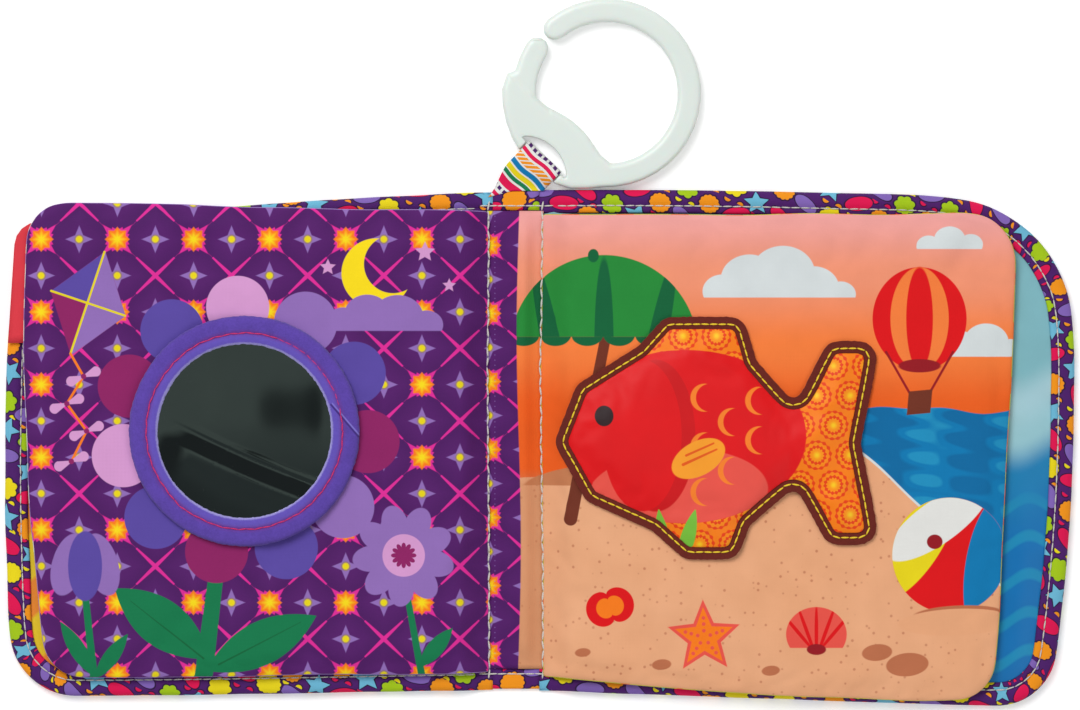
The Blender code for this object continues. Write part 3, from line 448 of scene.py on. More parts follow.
def confetti_recipe(tree, point, pitch, seed):
    """Scalloped flowers, stars, beans and tufts strewn over a ground, each with a dark edge."""
    px, py, _pz = point.split()
    u, v = (px * 0.87 + py * 0.49) / pitch, (py * 0.87 - px * 0.49) / pitch * 1.12
    row = v.does("FLOOR")
    shifted = u + row * 0.5 + seed
    column = shifted.does("FLOOR")
    chance, lean, size = scattered(tree, joined(tree, column, row))
    pick = (column * 0.381 + row * 0.236 + chance * 0.16).does("FRACT")
    flower = pick.does("LESS_THAN", STARS_FROM)
    star = pick.does("LESS_THAN", BEANS_FROM) - flower
    tuft = pick.does("GREATER_THAN", TUFTS_FROM)
    bean = 1.0 - flower - star - tuft
    dx = (shifted - column - 0.5 + (lean - 0.5) * 0.14) * pitch
    dy = (v - row - 0.5 + (size - 0.5) * 0.2) * pitch
    along, across = turned(dx, dy, (lean - 0.5) * 1.6)
    across = across * (1.0 + bean * 0.75)
    angle = across.does("ARCTAN2", along)
    count = flower * 13.0 + tuft * 7.0 + star * 5.0 + bean * 2.0
    wave = (angle * count / 2.0).does("COSINE").does("ABSOLUTE")
    round_edge = 1.0 - (flower * 0.10 + tuft * 0.20 + bean * 0.06) * (1.0 - wave)
    folded = folded_angle(angle, math.tau / count)
    side, slope = STAR_WAIST * math.sin(math.pi / 5), 1 - STAR_WAIST * math.cos(math.pi / 5)
    star_edge = 1.25 * side / (folded.does("COSINE") * side + folded.does("SINE") * slope)
    edge = pitch * (0.375 + size * 0.075 + bean * 0.085) * (star * star_edge + (1.0 - star) * round_edge)
    inside = edge - reach_of(along, across)
    colour = ramp(tree, pick, [
        (0.0, BORDER_ORANGE), (0.18, BORDER_YELLOW), (STARS_FROM, BORDER_BLUE), (BEANS_FROM, BORDER_LAVENDER),
        (0.60, BORDER_CRIMSON), (TUFTS_FROM, BORDER_LIME), (0.92, BORDER_YELLOW),
    ], constant=True)
    small_u, small_v = shifted + 0.5, v + 0.5
    cell = joined(tree, small_u.does("FLOOR") + 0.5, small_v.does("FLOOR"))
    tint, on, _spare = scattered(tree, cell)
    on = on.does("GREATER_THAN", 0.25)
    dot_u, dot_v = (share.does("FRACT") - 0.5 for share in (small_u, small_v))
    dot = pitch * 0.12 - reach_of(dot_u * pitch, dot_v * pitch)
    dots = ramp(tree, tint, [(0.0, BORDER_CRIMSON), (0.4, BORDER_ORANGE), (0.7, BORDER_YELLOW)],
                constant=True)
    result = mixed(tree, edged(dot + 0.45, 0.3) * on, BORDER_PURPLE, BORDER_DARK)
    result = mixed(tree, edged(dot, 0.22) * on, result, dots)
    result = mixed(tree, edged(inside + 0.55, 0.35), result, BORDER_DARK)
    return [mixed(tree, edged(inside, 0.22), result, colour)]


def weave_recipe(tree, point, pitch):
    """Over-and-under threads: a height, and a faint change of shade: a random mottle, and painted shade where
    the threads dip.
    """
    px, py, pz = point.split()
    flat = (px + pz * 0.7) * math.tau / pitch
    upright = (py + pz * 0.7) * math.tau / pitch
    height = (flat.does("SINE") + upright.does("SINE")) * 0.25 + 0.5
    mottle = cloudy(tree, point, 0.09, 3.0)
    # Painted shade where the height is low, and a random mottle.
    shade = 0.95 + height * 0.03 + (mottle - 0.5) * 0.16
    return [height, shade]


def felt_recipe(tree, point):
    """Matted fibres: a height, and a shade that follows it: mottled tone, and painted shade where the felt is
    low.
    """
    fine = cloudy(tree, point, 1.5, 5.0, 0.8)
    broad = cloudy(tree, point, 0.3, 2.0)
    height = fine * 0.7 + broad * 0.3
    # The shade follows the height: mottled tone, and painted shade in the low places.
    return [height, 0.42 + fine * 0.86 + broad * 0.30]


def twist_recipe(tree, point, pitch):
    """The slanting strands of a twisted thread, with painted shade between the strands."""
    px, py, pz = point.split()
    slant = (px + py + pz * 1.6) * math.tau / pitch
    height = slant.does("SINE") * 0.5 + 0.5
    # Painted shade: the colour darkens where the strands dip.
    return [height, 0.78 + height * 0.3]


SHAPE = {"Point": ORIGIN, "Centre": ORIGIN}
TURN_AND_SOFT = {"Turn": 0.0, "Soft": 0.25}
# Each group's inputs with their defaults, its outputs and its recipe
GROUPS = {
    "printed_blob": ({**SHAPE, "Half Size": (1, 1, 0), **TURN_AND_SOFT}, ("Mask",), blob_recipe),
    "printed_petals": ({**SHAPE, "Radius": 1.0, "Count": 5.0, "Depth": 0.5, "Sharpness": 1.0,
                        **TURN_AND_SOFT}, ("Mask",), petals_recipe),
    "printed_star": ({**SHAPE, "Radius": 1.0, "Waist": 0.4, "Count": 5.0, **TURN_AND_SOFT},
                     ("Mask",), star_recipe),
    "printed_stroke": ({"Point": ORIGIN, "Start": ORIGIN, "End": (1, 0, 0), "Half Widths": (1, 1, 0),
                        "Soft": 0.25}, ("Mask",), stroke_recipe),
    "printed_polygon": ({**SHAPE, "Half Size": (1, 1, 0), "Sides": 4.0, **TURN_AND_SOFT},
                        ("Mask",), polygon_recipe),
    "printed_petal_ring": ({**SHAPE, "Ring": 40.0, "Half Size": (10, 10, 0), "Count": 12.0,
                            **TURN_AND_SOFT}, ("Mask", "Pick"), petal_ring_recipe),
    "printed_trellis": ({"Point": ORIGIN, "Start": ORIGIN, "Pitch": (25, 25, 0)},
                        ("Lines", "Burst", "Core", "Star", "Rim", "Dot", "Deep"), trellis_recipe),
    "printed_confetti": ({"Point": ORIGIN, "Pitch": 8.0, "Seed": 0.0}, ("Colour",), confetti_recipe),
    "plain_weave": ({"Point": ORIGIN, "Pitch": 0.6}, ("Height", "Shade"), weave_recipe),
    "matted_felt": ({"Point": ORIGIN}, ("Height", "Shade"), felt_recipe),
    "twisted_thread": ({"Point": ORIGIN, "Pitch": 0.8}, ("Height", "Shade"), twist_recipe),
}


class Print:
    """A cloth print, laid one colour over another."""

    def __init__(self, tree, point, ground):
        self.tree = tree
        self.point = point
        self.colour = ground

    def lay(self, colour, mask):
        """Cover what the mask shows with a colour."""
        self.colour = mixed(self.tree, mask, self.colour, colour)

    def blob_mask(self, centre, half, turn=0.0, soft=0.25):
        return use_group(self.tree, "printed_blob", self.point, (*centre, 0), (*half, 0), turn, soft)

    def blob(self, colour, centre, half, turn=0.0):
        self.lay(colour, self.blob_mask(centre, half, turn))

    def petals(self, colour, centre, radius, count, depth, sharpness=1.0, turn=0.0):
        self.lay(colour, use_group(self.tree, "printed_petals", self.point, (*centre, 0), radius,
                                   float(count), depth, sharpness, turn, 0.25))

    def star(self, colour, centre, radius, count, waist, turn=0.0):
        self.lay(colour, use_group(self.tree, "printed_star", self.point, (*centre, 0), radius, waist,
                                   float(count), turn, 0.25))

    def stroke(self, colour, start, end, widths, belly=0.0):
        self.lay(colour, use_group(self.tree, "printed_stroke", self.point, (*start, 0), (*end, 0),
                                   (*widths, belly), 0.25))

    def polygon_mask(self, centre, half, sides, turn=0.0):
        return use_group(self.tree, "printed_polygon", self.point, (*centre, 0), (*half, 0),
                         float(sides), turn, 0.25)

    def side_of(self, start, end):
        """A mask of what lies to the left of a line."""
        x, y, _z = self.point.split()
        along = (Vector(end) - Vector(start)).normalized()
        return edged((y - start[1]) * along.x - (x - start[0]) * along.y, 0.25)

    def above(self, height, soft=0.3):
        """A mask of what lies above a height."""
        return edged(self.point.split()[1] - height, soft)

    def puffs(self, colour, base, puffs):
        """A flat-bottomed cloud of round puffs."""
        mask = None
        for x, y, radius in puffs:
            puff = self.blob_mask((x, y), (radius, radius * 0.86))
            mask = puff if mask is None else mask.does("MAXIMUM", puff)
        self.lay(colour, mask * self.above(base))


# Finishes

def cloth_point(tree):
    """The place on the cloth, in millimetres, which the piece carries with it."""
    node = tree.nodes.new("ShaderNodeAttribute")
    node.attribute_name = PLACE
    return Wire(tree, node.outputs["Vector"])


def new_material(name):
    """A material, its node tree and its shader."""
    material = bpy.data.materials.new(name)
    material.use_nodes = True
    return material, material.node_tree, material.node_tree.nodes["Principled BSDF"]


def finish(name, recipe, roughness=0.8, bump=0.0, **settings):
    """A material whose recipe gives its colour and, where it has one, its height."""
    material, tree, shader = new_material(name)
    shader.inputs["Roughness"].default_value = roughness
    for label, value in settings.items():
        shader.inputs[label.replace("_", " ")].default_value = value
    colour, height = recipe(tree, cloth_point(tree))
    connect(tree, colour, shader.inputs["Base Color"])
    if height is not None:
        node = tree.nodes.new("ShaderNodeBump")
        node.inputs["Strength"].default_value = 0.6
        node.inputs["Distance"].default_value = bump
        connect(tree, height, node.inputs["Height"])
        tree.links.new(node.outputs[0], shader.inputs["Normal"])
    return material


def textured(tree, group, point, colour, *values):
    """A colour times a texture group's shade, and the texture's height."""
    height, shade = use_group(tree, group, point, *values)
    return mixed(tree, 1.0, colour, joined(tree, shade, shade, shade), "MULTIPLY"), height


def woven(tree, point, colour, pitch=PAGE_WEAVE):
    """A woven cloth's colour and height."""
    return textured(tree, "plain_weave", point, colour, pitch)


CLOTH = {"roughness": 0.75, "bump": 0.05 * MM, "Specular_IOR_Level": 0.2, "Sheen_Weight": 0.03,
         "Sheen_Roughness": 0.5}
SATIN = {"roughness": 0.40, "bump": 0.02 * MM, "Specular_IOR_Level": 0.22, "Sheen_Weight": 0.02,
         "Sheen_Roughness": 0.3}
FELT = {"roughness": 0.95, "bump": 0.4 * MM, "Specular_IOR_Level": 0.05, "Sheen_Weight": 0.15,
        "Sheen_Roughness": 0.6}


def border_cloth():
    def recipe(tree, point):
        colour = use_group(tree, "printed_confetti", point, 9.3, 0.35)
        return woven(tree, point, colour, 0.6)
    return finish("printed_border", recipe, **CLOTH)


def trellis_ground(tree, point, start, pitch):
    """The purple ground with its trellis."""
    *shapes, deep = use_group(tree, "printed_trellis", point, start, pitch)
    page = Print(tree, point, mixed(tree, deep, PURPLE, PURPLE_DEEP))
    colours = (TRELLIS_PINK, BURST_ORANGE, HEART_YELLOW, LAVENDER, STAR_OLIVE, BORDER_YELLOW)
    for colour, shape in zip(colours, shapes):
        page.lay(colour, shape)
    return page


def left_page():
    """Purple trellis page: a petal flower round the mirror, a kite, a moon and plain flowers."""
    def recipe(tree, point):
        page = trellis_ground(tree, point, (-131.4, 66.2, 0), (25.1, 23.95, 0))
        page.stroke(LEAF_GREEN, (-97, -30), (-103, -78), (2.2, 3.0))
        page.stroke(LEAF_GREEN, (-101, -72), (-132, -49), (0.2, 0.2), 7.6)
        page.stroke(DARK_GREEN, (-103, -72), (-127, -53), (0.3, 0.1))
        page.stroke(LEAF_GREEN, (-102, -76), (-66, -58), (0.2, 0.2), 7.0)
        page.stroke(DARK_GREEN, (-98, -74), (-71, -60), (0.3, 0.1))
        mask, pick = use_group(tree, "printed_petal_ring", point, (-89.4, 3.0, 0), 40.8,
                               (10.4, 10.4, 0), 11.0, 0.2, 0.25)
        page.lay(ramp(tree, pick, [(0.0, PETAL_BLUE), (0.32, LAVENDER), (0.58, MAGENTA),
                                   (0.78, PETAL_PINK)], constant=True), mask)
        kite = page.polygon_mask((-141, 45), (13, 18), 4, -0.32)
        page.lay(MAGENTA, kite)
        beside = page.side_of((-136, 62), (-146.5, 30))
        page.lay(LAVENDER, kite * beside)
        page.lay(PETAL_BLUE, kite * page.side_of((-155, 50), (-127, 41)) * (1.0 - beside))
        page.stroke(BORDER_YELLOW, (-135.6, 62), (-146.8, 28.5), (0.35, 0.35))
        page.stroke(BORDER_YELLOW, (-153.2, 49.2), (-128.8, 41), (0.35, 0.35))
        tail = [(-146.8, 28.5), (-142.5, 21), (-148, 12), (-141.5, 3), (-146.5, -7)]
        for start, end in zip(tail, tail[1:]):
            page.stroke(BURST_ORANGE, start, end, (0.4, 0.4))
        for x, y in tail[1:]:
            for side in (-1, 1):
                page.stroke(PETAL_PINK, (x, y), (x + side * 4.0, y + side * 1.6), (0.25, 1.7))
            page.blob(MAGENTA, (x, y), (0.9, 0.9))
        moon = page.blob_mask((-46, 55), (11.5, 11.5)) * (1.0 - page.blob_mask((-40.5, 58), (9.6, 9.6)))
        page.lay(HEART_YELLOW, moon)
        page.puffs(LAVENDER, 36, [(-57, 39, 5.5), (-49, 41.5, 7.5), (-39, 40.5, 8.5), (-29.5, 38, 5.5)])
        for x, y, radius in ((-30, 62, 3.4), (-62, 57, 2.7), (-22, 51, 2.3)):
            page.star(PETAL_PINK, (x, y), radius, 5, 0.48, 0.3)
        page.stroke(LEAF_GREEN, (-142, -50), (-139, -80), (1.1, 1.3))
        page.stroke(LEAF_GREEN, (-139, -78), (-150, -60), (0.1, 0.1), 2.6)
        page.stroke(LEAF_GREEN, (-139, -79), (-128, -64), (0.1, 0.1), 2.4)
        page.blob(LAVENDER, (-147.5, -41), (5.4, 10.5), -0.28)
        page.blob(LAVENDER, (-136.5, -41), (5.4, 10.5), 0.28)
        page.blob(PETAL_BLUE, (-142, -41.5), (5.6, 11.5))
        page.stroke(LEAF_GREEN, (-36, -50), (-31, -78), (1.0, 1.2))
        page.stroke(LEAF_GREEN, (-32, -75), (-21, -62), (0.1, 0.1), 2.6)
        mask, _pick = use_group(tree, "printed_petal_ring", point, (-37, -38, 0), 10.5,
                                (6.4, 4.3, 0), 9.0, 0.1, 0.25)
        page.lay(LAVENDER, mask)
        page.blob(PETAL_PINK, (-37, -38), (7.0, 7.0))
        page.petals(MAGENTA, (-37, -38), 4.2, 12, 0.35, 0.7)
        return woven(tree, point, page.colour)
    return finish("night_print", recipe, **CLOTH)


def sky_sea_sand(tree, point):
    """Sunset sky over a speckled beach, with the sea behind it at the right."""
    x, y, _z = point.split()
    sky = ramp(tree, (y + 8.0) / 84.0, [(0.0, SKY_DEEP), (0.22, SKY_DEEP), (0.46, SKY_ORANGE),
                                        (0.74, SKY_PEACH), (1.0, SKY_PINK)])
    page = Print(tree, point, sky)
    diamonds = ((x * 0.22).does("SINE") * 0.5 + (x * 0.31 + y * 0.9).does("SINE") * 0.25
                + (y * 0.8 - x * 0.12).does("SINE") * 0.25)
    sea = mixed(tree, (diamonds * 4.0 + 0.2).clamped(), SEA_BLUE, SEA_DARK)
    sea = mixed(tree, (diamonds * -5.0 - 1.6).clamped(), sea, SEA_LIGHT)
    swell = (x * 0.11).does("SINE") * 0.9 + (x * 0.27 + 1.0).does("SINE") * 0.5
    page.lay(sea, (1.0 - page.above(swell + 10.0)) * ((x - 70.0) / 0.3).clamped())
    climb = ((x - 52.0) / 46.0).clamped()
    dune = climb * climb * (3.0 - 2.0 * climb) * 23.0 - 13.0
    shore = dune + swell * 0.8 - (x - 98.0).does("MAXIMUM", 0.0) * 0.93
    page.lay(CLOUD, (1.0 - page.above(shore + 1.0)) * ((x - 99.0) / 0.5).clamped())
    speck = tree.nodes.new("ShaderNodeTexVoronoi")
    speck.inputs["Scale"].default_value = 0.42
    connect(tree, point, speck.inputs["Vector"])
    specks = (Wire(tree, speck.outputs["Distance"]) * -9.0 + 2.2).clamped()
    chance = Wire(tree, speck.outputs["Color"]).split()[0].does("GREATER_THAN", 0.5)
    sand = mixed(tree, specks * chance * 0.75, SAND, SAND_SPECK)
    drift = (cloudy(tree, point, 0.045, 2.0) * 1.6 - 0.55).clamped()
    page.lay(mixed(tree, drift * 0.35, sand, SAND_LIGHT), 1.0 - page.above(shore))
    far = page.blob_mask((38, -14), (36, 7.5), 0.06) * (1.0 - page.above(-8.5))
    page.lay(SAND_DEEP, far * page.above(-15.0))
    return page


def lay_parasol(page):
    """The parasol's canopy, with darker panels and a scalloped edge."""
    dome = page.blob_mask((29, 30), (31, 31), 0.12) * page.above(34.0)
    page.lay(PARASOL_GREEN, dome)
    for lean in (-17, 0, 17):
        page.lay(DARK_GREEN, dome * page.blob_mask((29 + lean, 30), (3.2, 30), -lean * 0.012))
    for place in range(6):
        scallop = page.blob_mask((2.5 + place * 10.5, 34.6), (5.2, 3.6))
        page.lay(DARK_GREEN, scallop * (1.0 - page.above(34.1)))
    page.blob(DARK_GREEN, (25.5, 60.8), (1.8, 2.2))


def right_page():
    """Beach page: parasol, clouds, hot-air balloon, beach ball and shells."""
    def recipe(tree, point):
        page = sky_sea_sand(tree, point)
        page.puffs(CLOUD, 47, [(68, 49, 6.5), (77, 53, 9.5), (88, 55, 10.5), (98, 50, 8.5), (107, 48, 5)])
        page.puffs(CLOUD, 63, [(136, 64, 4.0), (143, 66, 5.2), (150, 64.5, 4.0)])
        page.puffs(CLOUD, 27.5, [(146, 30, 7.0), (155, 32, 7.5), (163, 29, 5)])
        page.stroke(BROWN, (33, 52), (18, -26), (1.6, 2.2))
        lay_parasol(page)
        for colour, half in ((RED, 15.5), (SKY_ORANGE, 9.6), (RED, 4.4)):
            page.blob(colour, (133, 40), (half, 17))
        for side in (-1, 1):
            page.stroke(DARK_RED, (133 + side * 11, 29), (133 + side * 3, 15), (0.4, 0.4))
        page.lay(BROWN, page.polygon_mask((133, 12.5), (6.0, 5.0), 4, math.pi / 4))
        page.blob(DARK_RED, (133, 24.5), (7.0, 2.2))
        ball = page.blob_mask((143, -38), (19, 19))
        page.lay(RED, ball)
        page.lay(BORDER_YELLOW, ball * page.blob_mask((131, -32), (10, 24), -0.55))
        page.lay(WHITE, ball * page.blob_mask((139, -27), (7, 20), -0.95))
        page.lay(SEA_BLUE, ball * page.blob_mask((157, -42), (9, 24), -0.15))
        page.blob(DARK_RED, (138, -33.5), (2.6, 2.4))
        page.blob(SAND_SPECK, (146, -57.5), (15, 3.0), 0.04)
        page.blob(SAND, (145, -60), (19, 4.4), 0.04)
        for colour, radius, waist in ((CORAL, 12.5, 0.46), (BURST_ORANGE, 10.0, 0.44)):
            page.star(colour, (62, -65), radius, 5, waist, 0.35)
        for turn in range(5):
            lean = 0.35 + turn * math.tau / 5
            for reach in (2.2, 4.4, 6.4):
                page.blob(CORAL, (62 + reach * math.cos(lean), -65 + reach * math.sin(lean)), (0.6, 0.6))
        shell = page.blob_mask((99, -64), (10, 9)) * page.above(-68.5)
        page.lay(CORAL, shell)
        for lean in (-0.7, -0.35, 0.0, 0.35, 0.7):
            page.lay(RED, shell * page.blob_mask((99 + lean * 9, -63), (0.6, 9), -lean))
        page.blob(DARK_RED, (99, -69), (3.2, 1.8))
        for colour, radius in ((RED, 8.0), (BURST_ORANGE, 4.6)):
            page.petals(colour, (31, -55), radius, 2, 0.45, 0.7, 0.3)
        pebbles = ((119, -70, 5.0), (129, -74, 7.0), (48, -74, 3.2), (84, -76, 3.0), (22, -70, 2.6))
        for x, y, size in pebbles:
            page.blob(SAND_SPECK, (x, y), (size, size * 0.55), 0.1)
        return woven(tree, point, page.colour)
    return finish("beach_print", recipe, **CLOTH)


def gutter_cloth():
    """One strip with the left page's trellis and the right page's sky and sand."""
    def recipe(tree, point):
        x, y, _z = point.split()
        page = trellis_ground(tree, point, (-9.0, 64.3, 0), (25.1, 22.5, 0))
        beach = sky_sea_sand(tree, point)
        lay_parasol(beach)
        beach.lay(SAND_DEEP, (1.0 - beach.above(-12.0, 5.0)) * 0.5)
        edge = (y * 0.045).does("SINE") * 0.7
        page.lay(beach.colour, edged(x - 0.9 + edge, 0.3))
        hole = reach_of(x + 7.0, ((y / 1.7).does("FRACT") - 0.5) * 1.7)
        page.lay(LAVENDER, edged(0.16 - hole, 0.2) * 0.7)
        return woven(tree, point, page.colour)
    return finish("gutter_print", recipe, **CLOTH)


def spotted_cloth(name, ground, spot, pitch):
    """The unseen back prints: plain spots."""
    def recipe(tree, point):
        page = Print(tree, point, ground)
        _lines, burst, _core, _star, rim, *_rest = use_group(
            tree, "printed_trellis", point, ORIGIN, (pitch, pitch, 0))
        page.lay(spot, burst)
        page.lay(spot, rim)
        return woven(tree, point, page.colour)
    return finish(name, recipe, **CLOTH)


def right_lining():
    """Aqua satin that deepens to sea blue towards the foot, with a pale band of painted highlight above its
    middle and painted shade, a darker teal, over its upper part.
    """
    def recipe(tree, point):
        x, y, _z = point.split()
        band = (y + (x * 0.2).does("SINE") * 3.0 + 34.0) / 60.0
        # The pale stop at 0.82 is a painted highlight and the darker teal at 1.0 is painted shade.
        colour = ramp(tree, band, [(0.0, LINING_BLUE), (0.42, paint(20, 126, 180)), (0.62, LINING_AQUA),
                                   (0.82, paint(166, 206, 216)), (1.0, paint(128, 184, 194))])
        waves = ((y * 0.5 + (x * 0.25).does("SINE") * 1.5).does("SINE") * 2.5 - 1.0).clamped()
        low = ((-14.0 - y) / 10.0).clamped()
        colour = mixed(tree, waves * low * 0.5, colour, paint(30, 160, 190))
        return woven(tree, point, colour, 0.3)
    return finish("aqua_satin", recipe, **SATIN)


def left_lining():
    """Yellow satin with soft orange waves."""
    def recipe(tree, point):
        x, y, _z = point.split()
        wave = ((y * 0.22 + (x * 0.1).does("SINE") * 2.0).does("SINE") * 3.0).clamped()
        colour = mixed(tree, wave, paint(232, 200, 40), paint(236, 140, 46))
        return woven(tree, point, colour, 0.3)
    return finish("yellow_satin", recipe, **SATIN)


def plain_cloth(name, colour, pitch):
    def recipe(tree, point):
        return woven(tree, point, colour, pitch)
    return finish(name, recipe, **CLOTH)


def felt(name, colour):
    def recipe(tree, point):
        return textured(tree, "matted_felt", point, colour)
    return finish(name, recipe, **FELT)


def ring_felt(colour, centre, inner, row, join):
    """Felt with painted light: pale fibres and a painted highlight along its fuzzy inner cut edge, a painted
    highlight on the band inside the stitches, painted shade in the groove beside them, and a painted
    highlight over a painted shadow along the overlap of its ends.
    """
    def recipe(tree, point):
        now, height = textured(tree, "matted_felt", point, colour)
        x, y, _z = point.split()
        reach = reach_of(x - centre[0], y - centre[1])
        fuzz = cloudy(tree, point, 1.6, 3.0, 0.7)
        # Painted highlight: the band between the stitch row and the inner edge is lightened.
        now = mixed(tree, edged(row - 0.4 - reach, 0.8) * 0.4, now, paint(112, 100, 206))
        # Painted shade: the felt darkens in the groove along the stitch row.
        groove_shade = (1.0 - (reach - row).does("ABSOLUTE") / 1.4).clamped() * (fuzz * 0.5 + 0.1)
        now = mixed(tree, groove_shade, now, paint(128, 40, 120))
        # Pale fibres along the inner cut edge, with a painted highlight along it.
        pale = ((inner + 0.35 + fuzz * 0.8 - reach) / 0.5).clamped()
        now = mixed(tree, pale * 0.65, now, paint(176, 170, 226))
        overlap = Print(tree, point, now)
        start, end = join
        below = Vector((-0.45, -0.4))
        # The overlap's edge: a painted shadow just below it, then a painted highlight along it.
        overlap.stroke(paint(66, 46, 128), start + below, end + below, (0.3, 0.3))
        overlap.stroke(paint(130, 118, 206), start, end, (0.2, 0.25))
        return overlap.colour, height
    return finish("ring_felt", recipe, **FELT)


def thread(name, colour):
    def recipe(tree, point):
        return textured(tree, "twisted_thread", point, colour, 0.7)
    return finish(name, recipe, roughness=0.6, bump=0.06 * MM, Specular_IOR_Level=0.3)


def fish_cloth():
    """The padded patch: a plain red fish with ringed orange fins and green weed."""
    def recipe(tree, point):
        x, y, _z = point.split()
        cell_u, cell_v = x / 11.0, y / 9.8
        row = cell_v.does("FLOOR")
        cell_u = cell_u + row * 0.5
        du, dv = (cell_u.does("FRACT") - 0.5) * 11.0, (cell_v.does("FRACT") - 0.5) * 9.8
        rings = reach_of(du, dv)
        teeth = (dv.does("ARCTAN2", du) * 14.0).does("SINE") * 0.22
        fins = ramp(tree, rings / 5.6, [(0.0, paint(254, 206, 30)), (0.3, paint(252, 148, 16)),
                                        (1.0, paint(250, 128, 14))])
        for place, half in ((2.7, 0.42), (4.5, 0.36)):
            band = edged(half + teeth - (rings - place).does("ABSOLUTE"), 0.3)
            fins = mixed(tree, band, fins, paint(232, 62, 12))
        page = Print(tree, point, fins)
        body = page.blob_mask((55.5, 1.2), (40, 28.5), 0.02)
        page.lay(RED, body)
        page.lay(CORAL, body * page.blob_mask((53, -18), (30, 15), 0.08))
        page.lay(paint(205, 10, 18), page.blob_mask((46, 1.5), (13, 25)) * body)
        page.lay(RED, page.blob_mask((41.5, 1.5), (13, 25)) * body)
        for column, line in ((62, 14), (62, -2), (71, 6), (71, -10), (80, 0), (80, 13), (62, -17)):
            beside = page.blob_mask((column + 1.8, line), (4.6, 4.6))
            scale = page.blob_mask((column, line), (4.6, 4.6)) * (1.0 - beside)
            page.lay(paint(250, 130, 40), scale * body)
        page.blob(paint(252, 160, 40), (60, -6), (9.5, 5.6), 0.5)
        page.stroke(paint(232, 90, 20), (55, -8), (66, -3), (0.5, 0.3))
        page.stroke(paint(232, 90, 20), (56, -5), (65, -1), (0.4, 0.3))
        page.blob(paint(34, 16, 20), (29, 8), (3.1, 3.4))
        for x0, y0, x1, y1 in ((44, -38, 36, -22), (49, -40, 47, -23), (55, -38, 59, -23)):
            page.stroke(paint(120, 190, 60), (x0, y0), (x1, y1), (1.6, 0.2), 1.4)
        return woven(tree, point, page.colour, 0.35)
    return finish("fish_cloth", recipe, **{**SATIN, "roughness": 0.5})


def ribbon_cloth():
    """Stripes and dashes across the ribbon."""
    def recipe(tree, point):
        across, along, _z = point.split()
        sway = (across * 0.55).does("SINE") * 0.3
        share = ((along + sway + 3.0) / 17.0).does("FRACT")
        colour = ramp(tree, share, [
            (0.0, WHITE), (0.04, BORDER_PURPLE), (0.11, WHITE), (0.17, BORDER_CRIMSON), (0.25, WHITE),
            (0.29, BORDER_ORANGE), (0.44, WHITE), (0.47, SEA_BLUE), (0.57, WHITE), (0.60, BORDER_YELLOW),
            (0.70, WHITE), (0.72, LEAF_GREEN), (0.80, WHITE), (0.84, BORDER_CRIMSON)], constant=True)
        dash = (across / 2.2).does("FRACT").does("LESS_THAN", 0.6)
        hatch = ((across + along * 1.2) / 2.0).does("FRACT").does("LESS_THAN", 0.3)
        purple = share.does("GREATER_THAN", 0.04) * share.does("LESS_THAN", 0.11)
        orange = share.does("GREATER_THAN", 0.29) * share.does("LESS_THAN", 0.44)
        colour = mixed(tree, purple * (1.0 - dash) + orange * hatch, colour, WHITE)
        return woven(tree, point, colour, 0.5)
    return finish("ribbon_cloth", recipe, **{**CLOTH, "roughness": 0.6})


def mirror_skin():
    """Soft mirror film, a little cloudy."""
    def recipe(tree, point):
        haze = cloudy(tree, point, 0.06, 3.0)
        colour = mixed(tree, haze, paint(214, 220, 216), paint(236, 240, 238))
        specks = (cloudy(tree, point, 0.9, 2.0) * 9.0 - 6.0).clamped()
        return mixed(tree, specks * 0.35, colour, paint(250, 252, 252)), None
    return finish("mirror_skin", recipe, roughness=0.03, Metallic=1.0)


def moulded_plastic(colour):
    """Satin moulded plastic with a very fine grain."""
    def recipe(tree, point):
        grain = cloudy(tree, point, 4.0, 2.0)
        tint = cloudy(tree, point, 0.06, 2.0)
        return mixed(tree, tint * 0.3, colour, paint(206, 218, 212)), grain
    return finish("moulded_plastic", recipe, roughness=0.34, bump=0.02 * MM, Subsurface_Weight=0.15,
                  Subsurface_Scale=0.004, Specular_IOR_Level=0.5)


# Lines and panels

def even_points(points, count):
    """Points spread evenly along a line."""
    lengths = [0.0]
    for start, end in zip(points, points[1:]):
        lengths.append(lengths[-1] + (end - start).length)
    placed = []
    segment = 0
    for index in range(count):
        goal = lengths[-1] * index / (count - 1)
        while segment < len(points) - 2 and lengths[segment + 1] < goal:
            segment += 1
        span = lengths[segment + 1] - lengths[segment]
        share = (goal - lengths[segment]) / span if span else 0.0
        placed.append(points[segment].lerp(points[segment + 1], share))
    return placed


def smooth_line(points, spacing, closed=False):
    """Evenly spaced points on a smooth line through the given points."""
    points = [Vector(point) for point in points]
    count = len(points)
    drawn = []
    for index in range(count if closed else count - 1):
        start, end = points[index], points[(index + 1) % count]
        before = points[index - 1] if closed or index else start
        after = points[(index + 2) % count] if closed or index + 2 < count else end
        reach = (end - start).length / 3
        first = start + (end - before).normalized() * reach
        second = end - (after - start).normalized() * reach
        steps = max(3, round(reach * 6 / spacing))
        drawn += geometry.interpolate_bezier(start, first, second, end, steps)[:-1]
    drawn.append(points[0] if closed else points[-1])
    drawn = [Vector((point[0], point[1])) for point in drawn]
    total = sum((end - start).length for start, end in zip(drawn, drawn[1:]))
    return even_points(drawn, max(8, round(total / spacing)) + 1)


def offset_line(points, distance, side, closed=False):
    """A line moved to its left by a distance, or to its right where side is -1."""
    moved = []
    count = len(points)
    for index, point in enumerate(points):
        before = points[(index - 1) % count] if closed or index else point
        after = points[(index + 1) % count] if closed or index < count - 1 else point
        along = (after - before).normalized()
        normal = Vector((-along.y, along.x)) * side
        if not closed and index in (0, count - 1):
            normal = Vector((0, 1 if normal.y > 0 else -1))
        moved.append(point + normal * distance)
    return moved


